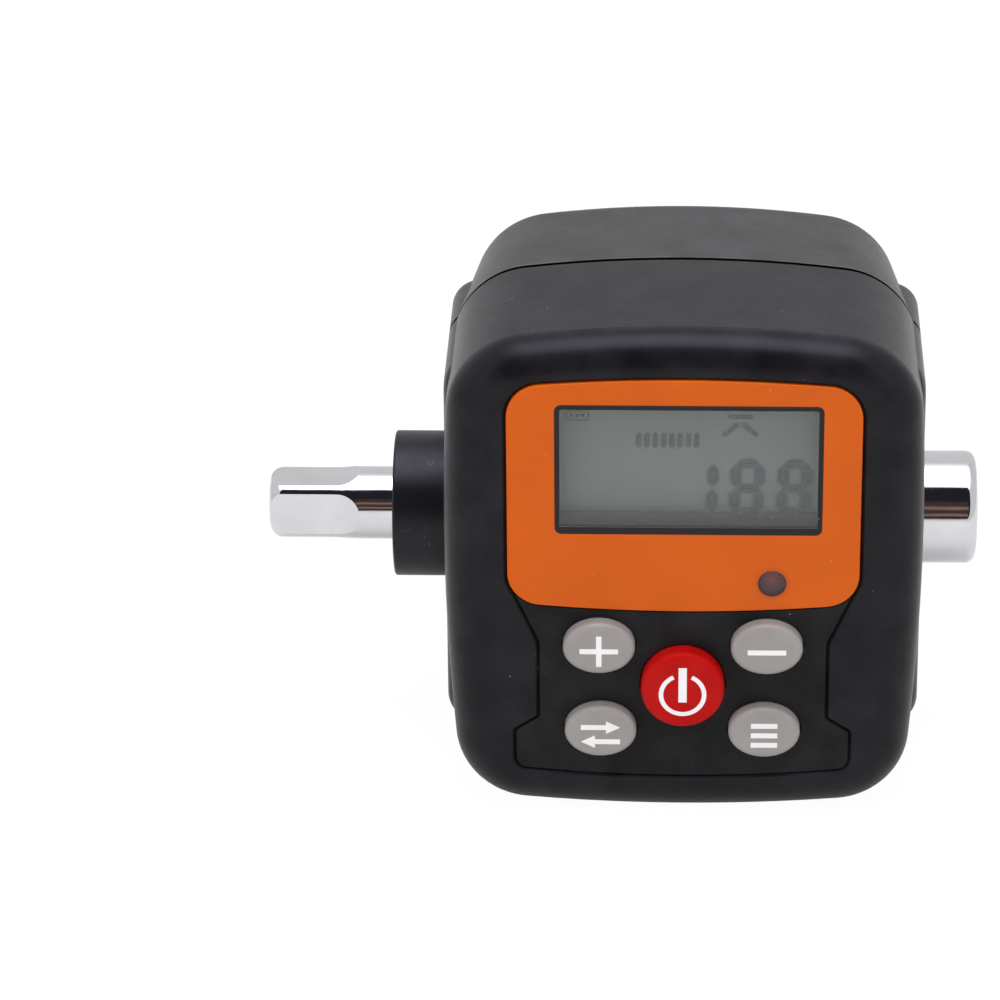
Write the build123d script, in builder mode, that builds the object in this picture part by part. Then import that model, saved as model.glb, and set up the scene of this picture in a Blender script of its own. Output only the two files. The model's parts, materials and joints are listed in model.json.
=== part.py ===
from build123d import *
import os
from math import cos, radians, sin

os.makedirs("parts", exist_ok=True)

# Digital torque meter, millimetres, +Z up. A steel shaft runs along X through a
# two-part plastic housing: male square at -X, female square at +X. The display and
# the keys face -Y. The origin is the centre of the base of the whole meter's box.

# Square drive ends
drive_square = 12.7
drive_corner_d = 16.05
drive_length = 14.8
run_out_length = 5.4
cutter_clear = 1.0
cutter_reach = 1.25
shank_d = 16.35
tip_round = 3.0
socket_play = 0.12
socket_square = drive_square + socket_play
socket_depth = 16.5
socket_corner_r = 0.5
socket_chamfer = 0.9
socket_drill_d = 13.3
socket_drill_depth = 18.0
socket_groove_d = 14.9
socket_groove_width = 3.4
socket_groove_from_mouth = 6.0
socket_od = 25.3
socket_end_r = 2.3

# How far each end stands out of the housing
shank_out = 28.1
collar_length = 12.5
collar_od = 32.6
collar_edge_r = 0.6
socket_out = 13.2

# Housing outline, seen from the front: a barrel with bowed sides
half_width_middle = 52.0
half_width_top = 50.4
half_width_bottom = 48.6
height = 114.4
shoulder_drop = 4.5
widest_z = 59.0
bottom_rise = 3.0
base_cut = 0.3
top_corner_r = 18.5
bottom_corner_r = 17.0

# Housing depths, measured from the seam on the shaft axis
front_depth = 45.0
rear_depth = 36.0
front_edge_r = 8.0
rear_edge_r = 5.0
rear_narrowing = 0.08
rear_drop = 0.6
wall = 2.6
front_wall = 3.0
rear_wall = 3.0
seam_gap = 0.4
seam_gap_depth = 0.8
lip = 1.6
lip_clearance = 0.1
shaft_z = 54.5

# Raised cheeks that carry the shaft through the side walls
cheek_proud = 0.2
cheek_front = 33.0
cheek_rear = 24.0
cheek_low_z = 14.0
cheek_high_z = height - 12.9
cheek_corner_r = 8.0
cheek_edge_r = 6.0

# Bushes, saddles and the pin that keeps the housing from turning on the shaft
bush_length = 8.2
bush_wall = 2.85
saddle_wall = 3.0
shaft_fit = 0.03
pin_d = 3.0
pin_circle_r = 13.3
pin_in_collar = 6.0
pin_in_housing = 6.0
pin_fit = 0.02
grub_d = 5.0
grub_length = 6.5

# Torsion section with its strain gauges
neck_d = 14.0
neck_flats = 12.0
neck_from = -32.0
neck_to = 18.0
neck_flat_length = 26.0
neck_r = 3.0
gauge_length = 9.0
gauge_width = 7.0
gauge_t = 0.4

# Detent ball in the rear flat of the male square
ball_d = 4.0
ball_proud = 0.8
ball_from_tip = 7.4
ball_clearance = 0.06
ball_lip_clearance = 0.1
ball_hole_depth = 8.0
spring_wire_d = 0.5
spring_coil_d = 2.9
spring_turns = 4

# Face panel outline: the display window on top, the narrower key field below
panel_t = 3.0
panel_half = 38.2
panel_top_z = height - 9.1
panel_top_bow = 1.9
window_corner_r = 7.7
waist_half = 31.4
waist_above_lens = 7.2
waist_below_lens = 7.6
skirt_half = 36.6
skirt_top_z = 24.3
skirt_slope = 3.4
skirt_bottom_z = 11.8
skirt_bow = 2.0
skirt_corner_r = 2.6
waist_r = 2.5
step_r = 0.8
panel_gap = 0.12
panel_bevel = 0.7
bevel_angle = 45.0
panel_edge_r = 0.35
ledge_t = 1.6
ledge_inner = 1.8
ledge_outer = 2.5

# Display lens, with a colour print on its back that leaves a clear window
lens_t = 1.3
print_t = 0.2
lens_proud = 0.3
lens_bottom_z = 50.3
lens_bottom_bow = 2.0
lens_edge_r = 0.4
window_w = 56.8
window_above_lens = 19.0
window_below_top = 6.1
window_r = 1.1
opening_margin = 1.6

# Liquid crystal display, its bezel and the boards
display_x = 1.0
glass_side_margin = 2.1
glass_end_margin = 4.05
glass_t = 2.8
glass_ledge = 2.5
glass_depth = 6.0
bezel_lip_t = 1.0
bezel_wall = 1.2
bezel_gap = 0.2
bezel_cover = 1.5
zebra_t = 2.0
zebra_inset = 3.5
board_depth = 13.4
board_t = 1.6
board_half = 40.0
board_low_z = 9.0
board_high_z = height - 7.4
board_corner_r = 2.0
board_boss_gap = 0.7

# Alarm lamp
lamp_x = 19.2
lamp_above_lens = 7.1
lamp_window_d = 6.2
lamp_d = 5.0
lamp_flange_d = 5.8
lamp_flange_t = 1.0
lamp_length = 8.6
lamp_hole_d = 6.6

# Keys: two rows of ovals around one round power key
key_half_w = 7.85
key_half_h = 6.15
key_proud = 3.2
key_crown_r = 1.3
power_r = 9.15
power_proud = 4.2
power_crown_r = 1.7
upper_key_x = 18.25
lower_key_x = 17.9
upper_key_below_lens = 7.8
power_z = 32.9
lower_key_z = 22.1
key_gap = 0.3
key_flange = 1.0
key_flange_t = 1.0
key_stem_d = 4.4
stem_gap = 0.2

# Silicone key mat with one dome under each key
mat_half_w = 28.0
mat_low_z = 14.0
mat_high_z = 51.0
mat_web_t = 1.0
dome_base_d = 8.6
dome_height = 2.9
dome_taper = 28.0

# Fastening
boss_beside_bezel = 1.3
boss_low_z = 14.5
boss_high_z = height - 15.9
boss_r = 4.3
case_screw_d = 2.9
case_screw_in_front = 16.0
case_screw_hole_d = 3.4
case_screw_seat = 14.0
case_head_d = 5.5
case_head_t = 2.2
counterbore_d = 6.0
screw_fit = 0.02
post_places = [(-36.5, 57.0), (36.5, 57.0), (-33.0, 30.0), (33.0, 30.0)]
post_r = 2.5
board_screw_d = 2.2
board_screw_length = 5.0
board_head_d = 4.4
board_head_t = 1.5

# Battery compartment in the rear wall
cell_d = 10.5
cell_length = 44.5
cell_nub_d = 3.8
cell_nub_length = 0.8
cell_gap = 1.0
pocket_end = 4.8
pocket_depth = 12.5
pocket_wall = 1.6
pocket_z = 36.0
door_w = 73.0
door_h = 32.0
door_t = 2.2
door_corner_r = 4.0
door_gap = 0.25
door_rib_t = 1.0
door_screw_x = 32.4
door_screw_d = 2.0
door_screw_length = 8.0
door_head_d = 4.0
door_head_t = 1.1
recess_w = 0.7
recess_share = 0.6
door_boss_r = 3.0
door_boss_depth = 10.0
contact_t = 0.4
contact_w = 8.0
contact_bump = 0.9

# Electronic parts on the back of the board
buzzer_d = 12.0
buzzer_t = 7.5
buzzer_place = (22.0, 31.0)
chip_size = 10.0
chip_t = 1.6
chip_place = (-9.0, 36.0)
amplifier_w = 6.2
amplifier_h = 5.0
amplifier_t = 1.5
amplifier_place = (-6.0, 64.0)
plug_w = 7.5
plug_h = 5.0
plug_t = 6.0
gauge_plug_place = (19.0, 66.0)
battery_plug_place = (-29.0, 22.0)
wire_d = 1.5
wire_bend_r = 4.0

# Places that follow from the sizes above
waist_z = lens_bottom_z + waist_above_lens
waist_low_z = lens_bottom_z - waist_below_lens
lamp_z = lens_bottom_z + lamp_above_lens
upper_key_z = lens_bottom_z - upper_key_below_lens
window_low_z = lens_bottom_z + window_above_lens
window_high_z = panel_top_z - window_below_top
window_h = window_high_z - window_low_z
display_z = (window_low_z + window_high_z) / 2
glass_w = window_w + 2 * glass_side_margin
glass_h = window_h + 2 * glass_end_margin
boss_x = display_x + glass_w / 2 + bezel_gap + bezel_wall + boss_beside_bezel + boss_r
lens_step_depth = lens_t + print_t - lens_proud
cheek_half = half_width_middle + cheek_proud
left_reach = cheek_half + collar_length + shank_out
right_reach = cheek_half + socket_out
body_x = (left_reach - right_reach) / 2
shaft_y = (front_depth + power_proud - rear_depth) / 2
front_y = shaft_y - front_depth
full_depth = front_depth + rear_depth
shank_r = shank_d / 2
socket_r = socket_od / 2
left_bush_r = shank_r + bush_wall
right_bush_r = socket_r + bush_wall
left_saddle_r = pin_circle_r + pin_d / 2 + saddle_wall
right_saddle_r = right_bush_r + saddle_wall
bush_inner_x = cheek_half - bush_length
key_places = {
    "plus_key": (-upper_key_x, upper_key_z),
    "minus_key": (upper_key_x, upper_key_z),
    "power_key": (0.0, power_z),
    "unit_key": (-lower_key_x, lower_key_z),
    "mode_key": (lower_key_x, lower_key_z),
}
boss_places = [(x, z) for x in (-boss_x, boss_x) for z in (boss_low_z, boss_high_z)]
door_screw_places = [(-door_screw_x, pocket_z), (door_screw_x, pocket_z)]
pocket_w = cell_length + cell_nub_length + 2 * pocket_end
pocket_h = 2 * cell_d + 3 * cell_gap
pocket_floor_depth = full_depth - door_t - pocket_depth
cell_depth = full_depth - door_t - door_rib_t - cell_gap / 2 - cell_d / 2
stem_end_depth = board_depth - mat_web_t - dome_height - stem_gap


def face_plane(depth=0.0):
    """Plane parallel to the front face, a depth behind it: local x is X, local y is Z."""
    return Plane(origin=(body_x, front_y + depth, 0), x_dir=(1, 0, 0), z_dir=(0, -1, 0))


def cross_plane(x):
    """Plane square to the shaft, x from the housing's middle: local x is Y, local y is Z."""
    return Plane(origin=(body_x + x, shaft_y, shaft_z), x_dir=(0, 1, 0), z_dir=(1, 0, 0))


# Local x runs along the shaft from the housing's middle, and local y is the radius.
profile_plane = Plane(origin=(body_x, shaft_y, shaft_z), x_dir=(1, 0, 0), z_dir=(0, 0, 1))
shaft_axis = Axis((body_x, shaft_y, shaft_z), (1, 0, 0))
seam_plane = face_plane(front_depth)


def cross_recess(depth, head_d, places):
    """Cross recesses for a driver, cut from a depth into screw heads of one diameter."""
    arm = head_d * recess_share
    with BuildPart() as recess:
        with BuildSketch(face_plane(depth)):
            with Locations(*places):
                Rectangle(arm, recess_w)
                Rectangle(recess_w, arm)
        extrude(amount=head_d / 4)
    return recess.part


def save(piece, label):
    """Label a finished piece and write it as one STEP file."""
    piece.part.label = label
    export_step(piece.part, f"parts/{label}.step")


# Housing


def body_outline(depth, inset=0.0):
    """Bowed barrel outline of the housing at a depth, narrower behind the seam."""
    behind = max(0.0, depth - front_depth) / rear_depth
    scale = 1 - rear_narrowing * behind
    top = height - rear_drop * behind - inset
    bottom = inset - base_cut
    middle = (half_width_middle * scale - inset, widest_z)
    low_right = (half_width_bottom * scale - inset, bottom + bottom_rise)
    high_right = (half_width_top * scale - inset, top - shoulder_drop)
    low_left = (-low_right[0], low_right[1])
    high_left = (-high_right[0], high_right[1])
    with BuildSketch() as outline:
        with BuildLine():
            ThreePointArc(low_right, middle, high_right)
            ThreePointArc(high_right, (0, top), high_left)
            ThreePointArc(high_left, (-middle[0], middle[1]), low_left)
            ThreePointArc(low_left, (0, bottom), low_right)
        make_face()
        fillet(outline.vertices().group_by(Axis.Y)[-1], top_corner_r - inset)
        fillet(outline.vertices().group_by(Axis.Y)[0], bottom_corner_r - inset)
    return outline.sketch


def front_form(inset=0.0):
    """Front half of the housing, full or inset as its hollow, with a rounded front edge."""
    start = front_wall if inset else 0.0
    with BuildPart() as form:
        with BuildSketch(seam_plane):
            add(body_outline(front_depth, inset))
        extrude(amount=front_depth - start)
        fillet(form.edges().group_by(Axis.Y)[0], front_edge_r - inset)
    return form.part


def rear_form(inset=0.0):
    """Rear half of the housing, drawn in towards the back, with a rounded rear edge."""
    end = full_depth - rear_wall if inset else full_depth
    with BuildPart() as form:
        with BuildSketch(seam_plane):
            add(body_outline(front_depth, inset))
        with BuildSketch(face_plane(end)):
            add(body_outline(end, inset))
        loft(ruled=True)
        fillet(form.edges().group_by(Axis.Y)[-1], rear_edge_r - inset)
    return form.part


def side_cheeks():
    """Block right across the housing whose rounded ends stand out as the two cheeks."""
    middle_y = (cheek_rear - cheek_front) / 2
    middle_z = (cheek_low_z + cheek_high_z) / 2 - shaft_z
    with BuildPart() as cheeks:
        with BuildSketch(cross_plane(0)):
            with Locations((middle_y, middle_z)):
                RectangleRounded(cheek_front + cheek_rear, cheek_high_z - cheek_low_z, cheek_corner_r)
        extrude(amount=cheek_half, both=True)
        ends = cheeks.edges().group_by(Axis.X)
        fillet(ends[0] + ends[-1], cheek_edge_r)
    return cheeks.part


def seam_ring(outer_inset, inner_inset):
    """Band of the wall's section at the seam, between two insets from the outside."""
    with BuildSketch(seam_plane) as ring:
        add(body_outline(front_depth, outer_inset))
        add(body_outline(front_depth, inner_inset), mode=Mode.SUBTRACT)
    return ring.sketch


def saddles():
    """Round bosses inside both side walls, which hold the bushes."""
    with BuildPart() as rings:
        with BuildSketch(cross_plane(-bush_inner_x)):
            Circle(left_saddle_r)
        extrude(amount=-(bush_length - wall / 2))
        with BuildSketch(cross_plane(bush_inner_x)):
            Circle(right_saddle_r)
        extrude(amount=bush_length - wall / 2)
    return rings.part


def bush_holes():
    """Round holes through both side walls, along the shaft."""
    with BuildPart() as holes:
        with BuildSketch(cross_plane(-bush_inner_x + saddle_wall)):
            Circle(left_bush_r)
        extrude(amount=-(bush_length + 2 * saddle_wall))
        with BuildSketch(cross_plane(bush_inner_x - saddle_wall)):
            Circle(right_bush_r)
        extrude(amount=bush_length + 2 * saddle_wall)
    return holes.part


def below_base():
    """Block under the base, which trims the housing to a flat land to stand on."""
    with BuildPart() as block:
        with Locations((body_x, shaft_y, 0)):
            Box(2 * cheek_half, 2 * full_depth, height, align=(Align.CENTER, Align.CENTER, Align.MAX))
    return block.part


def pin_hole():
    """Hole for the locating pin, behind the shaft, through the left wall and saddle."""
    with BuildPart() as hole:
        with BuildSketch(cross_plane(-cheek_half - pin_in_collar)):
            with Locations((pin_circle_r, 0)):
                Circle(pin_d / 2 + pin_fit)
        extrude(amount=pin_in_collar + pin_in_housing)
    return hole.part


# Face panel outline


def panel_outline(grow=0.0):
    """Outline of the face panel: bowed window field above, waist and key field below."""
    skirt_low_z = skirt_top_z - skirt_slope
    right_side = [
        (skirt_half, skirt_bottom_z),
        (skirt_half, skirt_low_z),
        (waist_half, skirt_top_z),
        (waist_half, waist_low_z),
        (panel_half, waist_z),
        (panel_half, panel_top_z - panel_top_bow),
    ]
    left_side = [(-x, z) for x, z in reversed(right_side)]
    with BuildSketch() as outline:
        with BuildLine():
            Polyline(*right_side)
            ThreePointArc(right_side[-1], (0, panel_top_z), left_side[0])
            Polyline(*left_side)
            ThreePointArc(left_side[-1], (0, skirt_bottom_z - skirt_bow), right_side[0])
        make_face()
        rows = outline.vertices().group_by(Axis.Y)
        fillet(rows[5], window_corner_r)
        rows = outline.vertices().group_by(Axis.Y)
        fillet(rows[3] + rows[4], waist_r)
        rows = outline.vertices().group_by(Axis.Y)
        fillet(rows[1] + rows[2], step_r)
        rows = outline.vertices().group_by(Axis.Y)
        fillet(rows[0], skirt_corner_r)
        if grow:
            offset(amount=grow)
    return outline.sketch


def lens_outline(grow=0.0):
    """Outline of the display lens, which shares the panel's top and sides."""
    low = lens_bottom_z + lens_bottom_bow
    high = panel_top_z - panel_top_bow
    with BuildSketch() as outline:
        with BuildLine():
            Line((panel_half, low), (panel_half, high))
            ThreePointArc((panel_half, high), (0, panel_top_z), (-panel_half, high))
            Line((-panel_half, high), (-panel_half, low))
            ThreePointArc((-panel_half, low), (0, lens_bottom_z), (panel_half, low))
        make_face()
        fillet(outline.vertices(), window_corner_r)
        if grow:
            offset(amount=grow)
    return outline.sketch


# Front shell
with BuildPart() as front_shell:
    add(front_form())
    add(side_cheeks())
    split(bisect_by=seam_plane, keep=Keep.TOP)
    add(front_form(wall), mode=Mode.SUBTRACT)
    add(saddles())
    # Ledge behind the front wall, on which the face panel lies
    with BuildSketch(face_plane(front_wall + ledge_t)):
        add(panel_outline(ledge_outer))
    extrude(amount=ledge_t + front_wall / 2)
    # Posts for the board and bosses for the case screws
    with BuildSketch(face_plane(board_depth)):
        with Locations(*post_places):
            Circle(post_r)
    extrude(amount=board_depth - front_wall - ledge_t)
    with BuildSketch(seam_plane):
        with Locations(*boss_places):
            Circle(boss_r)
    extrude(amount=front_depth - front_wall - ledge_t)
    split(bisect_by=seam_plane, keep=Keep.TOP)
    # Tongue that enters the rear shell
    extrude(seam_ring(wall / 2, wall), amount=-lip)
    # Opening for the face panel, bevelled at its edge, and the ledge's own opening
    with BuildSketch(face_plane(panel_t)):
        add(panel_outline())
    extrude(amount=panel_t, mode=Mode.SUBTRACT)
    with BuildSketch(face_plane(panel_bevel)):
        add(panel_outline())
    extrude(amount=panel_bevel, taper=-bevel_angle, mode=Mode.SUBTRACT)
    with BuildSketch(face_plane(front_wall + ledge_t)):
        add(panel_outline(-ledge_inner))
    extrude(amount=front_wall + ledge_t, mode=Mode.SUBTRACT)
    # Holes for the bushes, the screws and the pin
    add(bush_holes(), mode=Mode.SUBTRACT)
    with BuildSketch(seam_plane):
        with Locations(*boss_places):
            Circle(case_screw_d / 2 + screw_fit)
    extrude(amount=case_screw_in_front, mode=Mode.SUBTRACT)
    with BuildSketch(face_plane(board_depth)):
        with Locations(*post_places):
            Circle(board_screw_d / 2 + screw_fit)
    extrude(amount=board_screw_length, mode=Mode.SUBTRACT)
    add(pin_hole(), mode=Mode.SUBTRACT)
    add(below_base(), mode=Mode.SUBTRACT)
save(front_shell, "front_shell")

# Rear shell
with BuildPart() as rear_shell:
    add(rear_form())
    add(side_cheeks())
    split(bisect_by=seam_plane, keep=Keep.BOTTOM)
    add(rear_form(wall), mode=Mode.SUBTRACT)
    add(saddles())
    with BuildSketch(seam_plane):
        with Locations(*boss_places):
            Circle(boss_r)
    extrude(amount=-(rear_depth - rear_wall / 2))
    split(bisect_by=seam_plane, keep=Keep.BOTTOM)
    # Battery compartment, open to the rear, and the recess for its door
    with BuildSketch(face_plane(full_depth)):
        with Locations((0, pocket_z)):
            RectangleRounded(door_w + 2 * pocket_wall, door_h + 2 * pocket_wall, door_corner_r)
    extrude(amount=door_t + pocket_wall)
    with BuildSketch(face_plane(full_depth - rear_wall)):
        with Locations((0, pocket_z)):
            RectangleRounded(pocket_w + 2 * pocket_wall, pocket_h + 2 * pocket_wall, pocket_wall)
    extrude(amount=door_t + pocket_depth + pocket_wall - rear_wall)
    with BuildSketch(face_plane(full_depth - rear_wall)):
        with Locations(*door_screw_places):
            Circle(door_boss_r)
    extrude(amount=door_boss_depth)
    with BuildSketch(face_plane(full_depth)):
        with Locations((0, pocket_z)):
            RectangleRounded(door_w + 2 * door_gap, door_h + 2 * door_gap, door_corner_r)
    extrude(amount=door_t, mode=Mode.SUBTRACT)
    with BuildSketch(face_plane(full_depth)):
        with Locations((0, pocket_z)):
            Rectangle(pocket_w, pocket_h)
    extrude(amount=door_t + pocket_depth, mode=Mode.SUBTRACT)
    with BuildSketch(face_plane(full_depth)):
        with Locations(*door_screw_places):
            Circle(door_screw_d / 2 + screw_fit)
    extrude(amount=door_screw_length, mode=Mode.SUBTRACT)
    # Slots through which the battery leads leave the compartment
    with BuildSketch(face_plane(pocket_floor_depth)):
        with Locations((-pocket_w / 2 + wire_d, pocket_z)):
            Rectangle(2 * wire_d, 2 * cell_d)
    extrude(amount=pocket_wall, mode=Mode.SUBTRACT)
    # Case screw holes, with deep counterbores from the rear
    with BuildSketch(face_plane(full_depth)):
        with Locations(*boss_places):
            Circle(case_screw_hole_d / 2)
    extrude(amount=rear_depth, mode=Mode.SUBTRACT)
    with BuildSketch(face_plane(full_depth)):
        with Locations(*boss_places):
            Circle(counterbore_d / 2)
    extrude(amount=rear_depth - case_screw_seat, mode=Mode.SUBTRACT)
    # Rebate for the front shell's tongue, and the shadow gap around the seam
    extrude(seam_ring(wall / 2 - lip_clearance, wall + lip_clearance), amount=-(lip + lip_clearance),
            mode=Mode.SUBTRACT)
    with BuildSketch(seam_plane):
        with Locations((0, height / 2)):
            Rectangle(3 * cheek_half, 2 * height)
        add(body_outline(front_depth, seam_gap_depth), mode=Mode.SUBTRACT)
    extrude(amount=-seam_gap, mode=Mode.SUBTRACT)
    add(bush_holes(), mode=Mode.SUBTRACT)
    add(pin_hole(), mode=Mode.SUBTRACT)
    add(below_base(), mode=Mode.SUBTRACT)
save(rear_shell, "rear_shell")

# Face panel, one moulding around the display and the keys
with BuildPart() as face_panel:
    with BuildSketch(face_plane(panel_t)):
        add(panel_outline(-panel_gap))
    extrude(amount=panel_t)
    fillet(face_panel.edges().group_by(Axis.Y)[0], panel_edge_r)
    # Step on which the lens is glued
    with BuildSketch(face_plane(lens_step_depth)):
        add(lens_outline(panel_gap))
    extrude(amount=lens_step_depth, mode=Mode.SUBTRACT)
    with BuildSketch(face_plane(panel_t)):
        with Locations((display_x, display_z)):
            RectangleRounded(window_w + 2 * opening_margin, window_h + 2 * opening_margin, window_r)
        with Locations((lamp_x, lamp_z)):
            Circle(lamp_hole_d / 2)
        for name, place in key_places.items():
            with Locations(place):
                if name == "power_key":
                    Circle(power_r + key_gap)
                else:
                    Ellipse(key_half_w + key_gap, key_half_h + key_gap)
    extrude(amount=panel_t, mode=Mode.SUBTRACT)
save(face_panel, "face_panel")

# Display lens, a clear plate with softened front edges
with BuildPart() as display_lens:
    with BuildSketch(face_plane(lens_step_depth - print_t)):
        add(lens_outline(-panel_gap))
    extrude(amount=lens_t)
    fillet(display_lens.edges().group_by(Axis.Y)[0], lens_edge_r)
save(display_lens, "display_lens")

# Colour print on the back of the lens, left open over the display and the lamp
with BuildPart() as lens_print:
    with BuildSketch(face_plane(lens_step_depth)):
        add(lens_outline(-panel_gap))
        with Locations((display_x, display_z)):
            RectangleRounded(window_w, window_h, window_r, mode=Mode.SUBTRACT)
        with Locations((lamp_x, lamp_z)):
            Circle(lamp_window_d / 2, mode=Mode.SUBTRACT)
    extrude(amount=print_t)
save(lens_print, "lens_print")

# Keys: cap, retaining flange behind the panel and the stem that presses the dome
for name, place in key_places.items():
    is_power = name == "power_key"
    half_w = power_r if is_power else key_half_w
    half_h = power_r if is_power else key_half_h
    proud = power_proud if is_power else key_proud
    crown_r = power_crown_r if is_power else key_crown_r
    with BuildPart() as key:
        with BuildSketch(face_plane(panel_t)):
            with Locations(place):
                if is_power:
                    Circle(half_w)
                else:
                    Ellipse(half_w, half_h)
        extrude(amount=panel_t + proud)
        fillet(key.edges().group_by(Axis.Y)[0], crown_r)
        with BuildSketch(face_plane(panel_t + key_flange_t)):
            with Locations(place):
                if is_power:
                    Circle(half_w + key_flange)
                else:
                    Ellipse(half_w + key_flange, half_h + key_flange)
        extrude(amount=key_flange_t)
        with BuildSketch(face_plane(stem_end_depth)):
            with Locations(place):
                Circle(key_stem_d / 2)
        extrude(amount=stem_end_depth - panel_t)
    save(key, name)

# Silicone key mat on the board
with BuildPart() as keypad_mat:
    with BuildSketch(face_plane(board_depth)):
        with Locations((0, (mat_low_z + mat_high_z) / 2)):
            RectangleRounded(2 * mat_half_w, mat_high_z - mat_low_z, board_corner_r)
    extrude(amount=mat_web_t)
    with BuildSketch(face_plane(board_depth - mat_web_t)):
        with Locations(*key_places.values()):
            Circle(dome_base_d / 2)
    extrude(amount=dome_height, taper=dome_taper)
save(keypad_mat, "keypad_mat")

# Main board, cut away around the case screw bosses
with BuildPart() as main_pcb:
    with BuildSketch(face_plane(board_depth + board_t)):
        with Locations((0, (board_low_z + board_high_z) / 2)):
            RectangleRounded(2 * board_half, board_high_z - board_low_z, board_corner_r)
        with Locations(*boss_places):
            Circle(boss_r + board_boss_gap, mode=Mode.SUBTRACT)
        with Locations(*post_places):
            Circle(board_screw_d / 2 + screw_fit, mode=Mode.SUBTRACT)
        for x, z in boss_places:
            with Locations((x + board_half * (1 if x > 0 else -1) / 2, z)):
                Rectangle(board_half, 2 * (boss_r + board_boss_gap), mode=Mode.SUBTRACT)
    extrude(amount=board_t)
save(main_pcb, "main_pcb")

# Liquid crystal display: a front and a wider rear glass
with BuildPart() as lcd_glass:
    with BuildSketch(face_plane(glass_depth + glass_t)):
        with Locations((display_x, display_z)):
            Rectangle(glass_w, glass_h)
    extrude(amount=glass_t / 2)
    with BuildSketch(face_plane(glass_depth + glass_t / 2)):
        with Locations((display_x, display_z)):
            Rectangle(glass_w, glass_h - 2 * glass_ledge)
    extrude(amount=glass_t / 2)
save(lcd_glass, "lcd_glass")

# Bezel that holds the glass against the board
bezel_depth = glass_depth - bezel_lip_t
with BuildPart() as lcd_frame:
    outer_w = glass_w + 2 * (bezel_gap + bezel_wall)
    outer_h = glass_h + 2 * (bezel_gap + bezel_wall)
    with BuildSketch(face_plane(board_depth)):
        with Locations((display_x, display_z)):
            RectangleRounded(outer_w, outer_h, bezel_wall)
    extrude(amount=board_depth - bezel_depth)
    with BuildSketch(face_plane(board_depth)):
        with Locations((display_x, display_z)):
            Rectangle(glass_w + 2 * bezel_gap, glass_h + 2 * bezel_gap)
    extrude(amount=board_depth - glass_depth, mode=Mode.SUBTRACT)
    with BuildSketch(face_plane(glass_depth)):
        with Locations((display_x, display_z)):
            Rectangle(glass_w - 2 * bezel_cover, glass_h - 2 * bezel_cover)
    extrude(amount=bezel_lip_t, mode=Mode.SUBTRACT)
save(lcd_frame, "lcd_frame")

# Rubber contact strips between the glass and the board
with BuildPart() as zebra_strips:
    strip_z = glass_h / 2 - zebra_t / 2
    with BuildSketch(face_plane(board_depth)):
        with Locations((display_x, display_z - strip_z), (display_x, display_z + strip_z)):
            Rectangle(glass_w - 2 * zebra_inset, zebra_t)
    extrude(amount=board_depth - glass_depth - glass_t)
save(zebra_strips, "zebra_strips")

# Alarm lamp, a domed light-emitting diode on the board
with BuildPart() as alarm_led:
    with BuildSketch(face_plane(board_depth)):
        with Locations((lamp_x, lamp_z)):
            Circle(lamp_flange_d / 2)
    extrude(amount=lamp_flange_t)
    with BuildSketch(face_plane(board_depth)):
        with Locations((lamp_x, lamp_z)):
            Circle(lamp_d / 2)
    extrude(amount=lamp_length)
    fillet(alarm_led.edges().group_by(Axis.Y)[0], lamp_d / 2 - screw_fit)
save(alarm_led, "alarm_led")

# Buzzer and chips on the back of the board
board_back = board_depth + board_t
with BuildPart() as buzzer:
    with BuildSketch(face_plane(board_back + buzzer_t)):
        with Locations(buzzer_place):
            Circle(buzzer_d / 2)
    extrude(amount=buzzer_t)
    with BuildSketch(face_plane(board_back + buzzer_t)):
        with Locations(buzzer_place):
            Circle(buzzer_d / 8)
    extrude(amount=buzzer_t / 4, mode=Mode.SUBTRACT)
save(buzzer, "buzzer")

with BuildPart() as control_chip:
    with BuildSketch(face_plane(board_back + chip_t)):
        with Locations(chip_place):
            Rectangle(chip_size, chip_size)
    extrude(amount=chip_t)
save(control_chip, "control_chip")

with BuildPart() as amplifier_chip:
    with BuildSketch(face_plane(board_back + amplifier_t)):
        with Locations(amplifier_place):
            Rectangle(amplifier_w, amplifier_h)
    extrude(amount=amplifier_t)
save(amplifier_chip, "amplifier_chip")

with BuildPart() as lead_plugs:
    with BuildSketch(face_plane(board_back + plug_t)):
        with Locations(gauge_plug_place, battery_plug_place):
            Rectangle(plug_w, plug_h)
    extrude(amount=plug_t)
save(lead_plugs, "lead_plugs")

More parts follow.
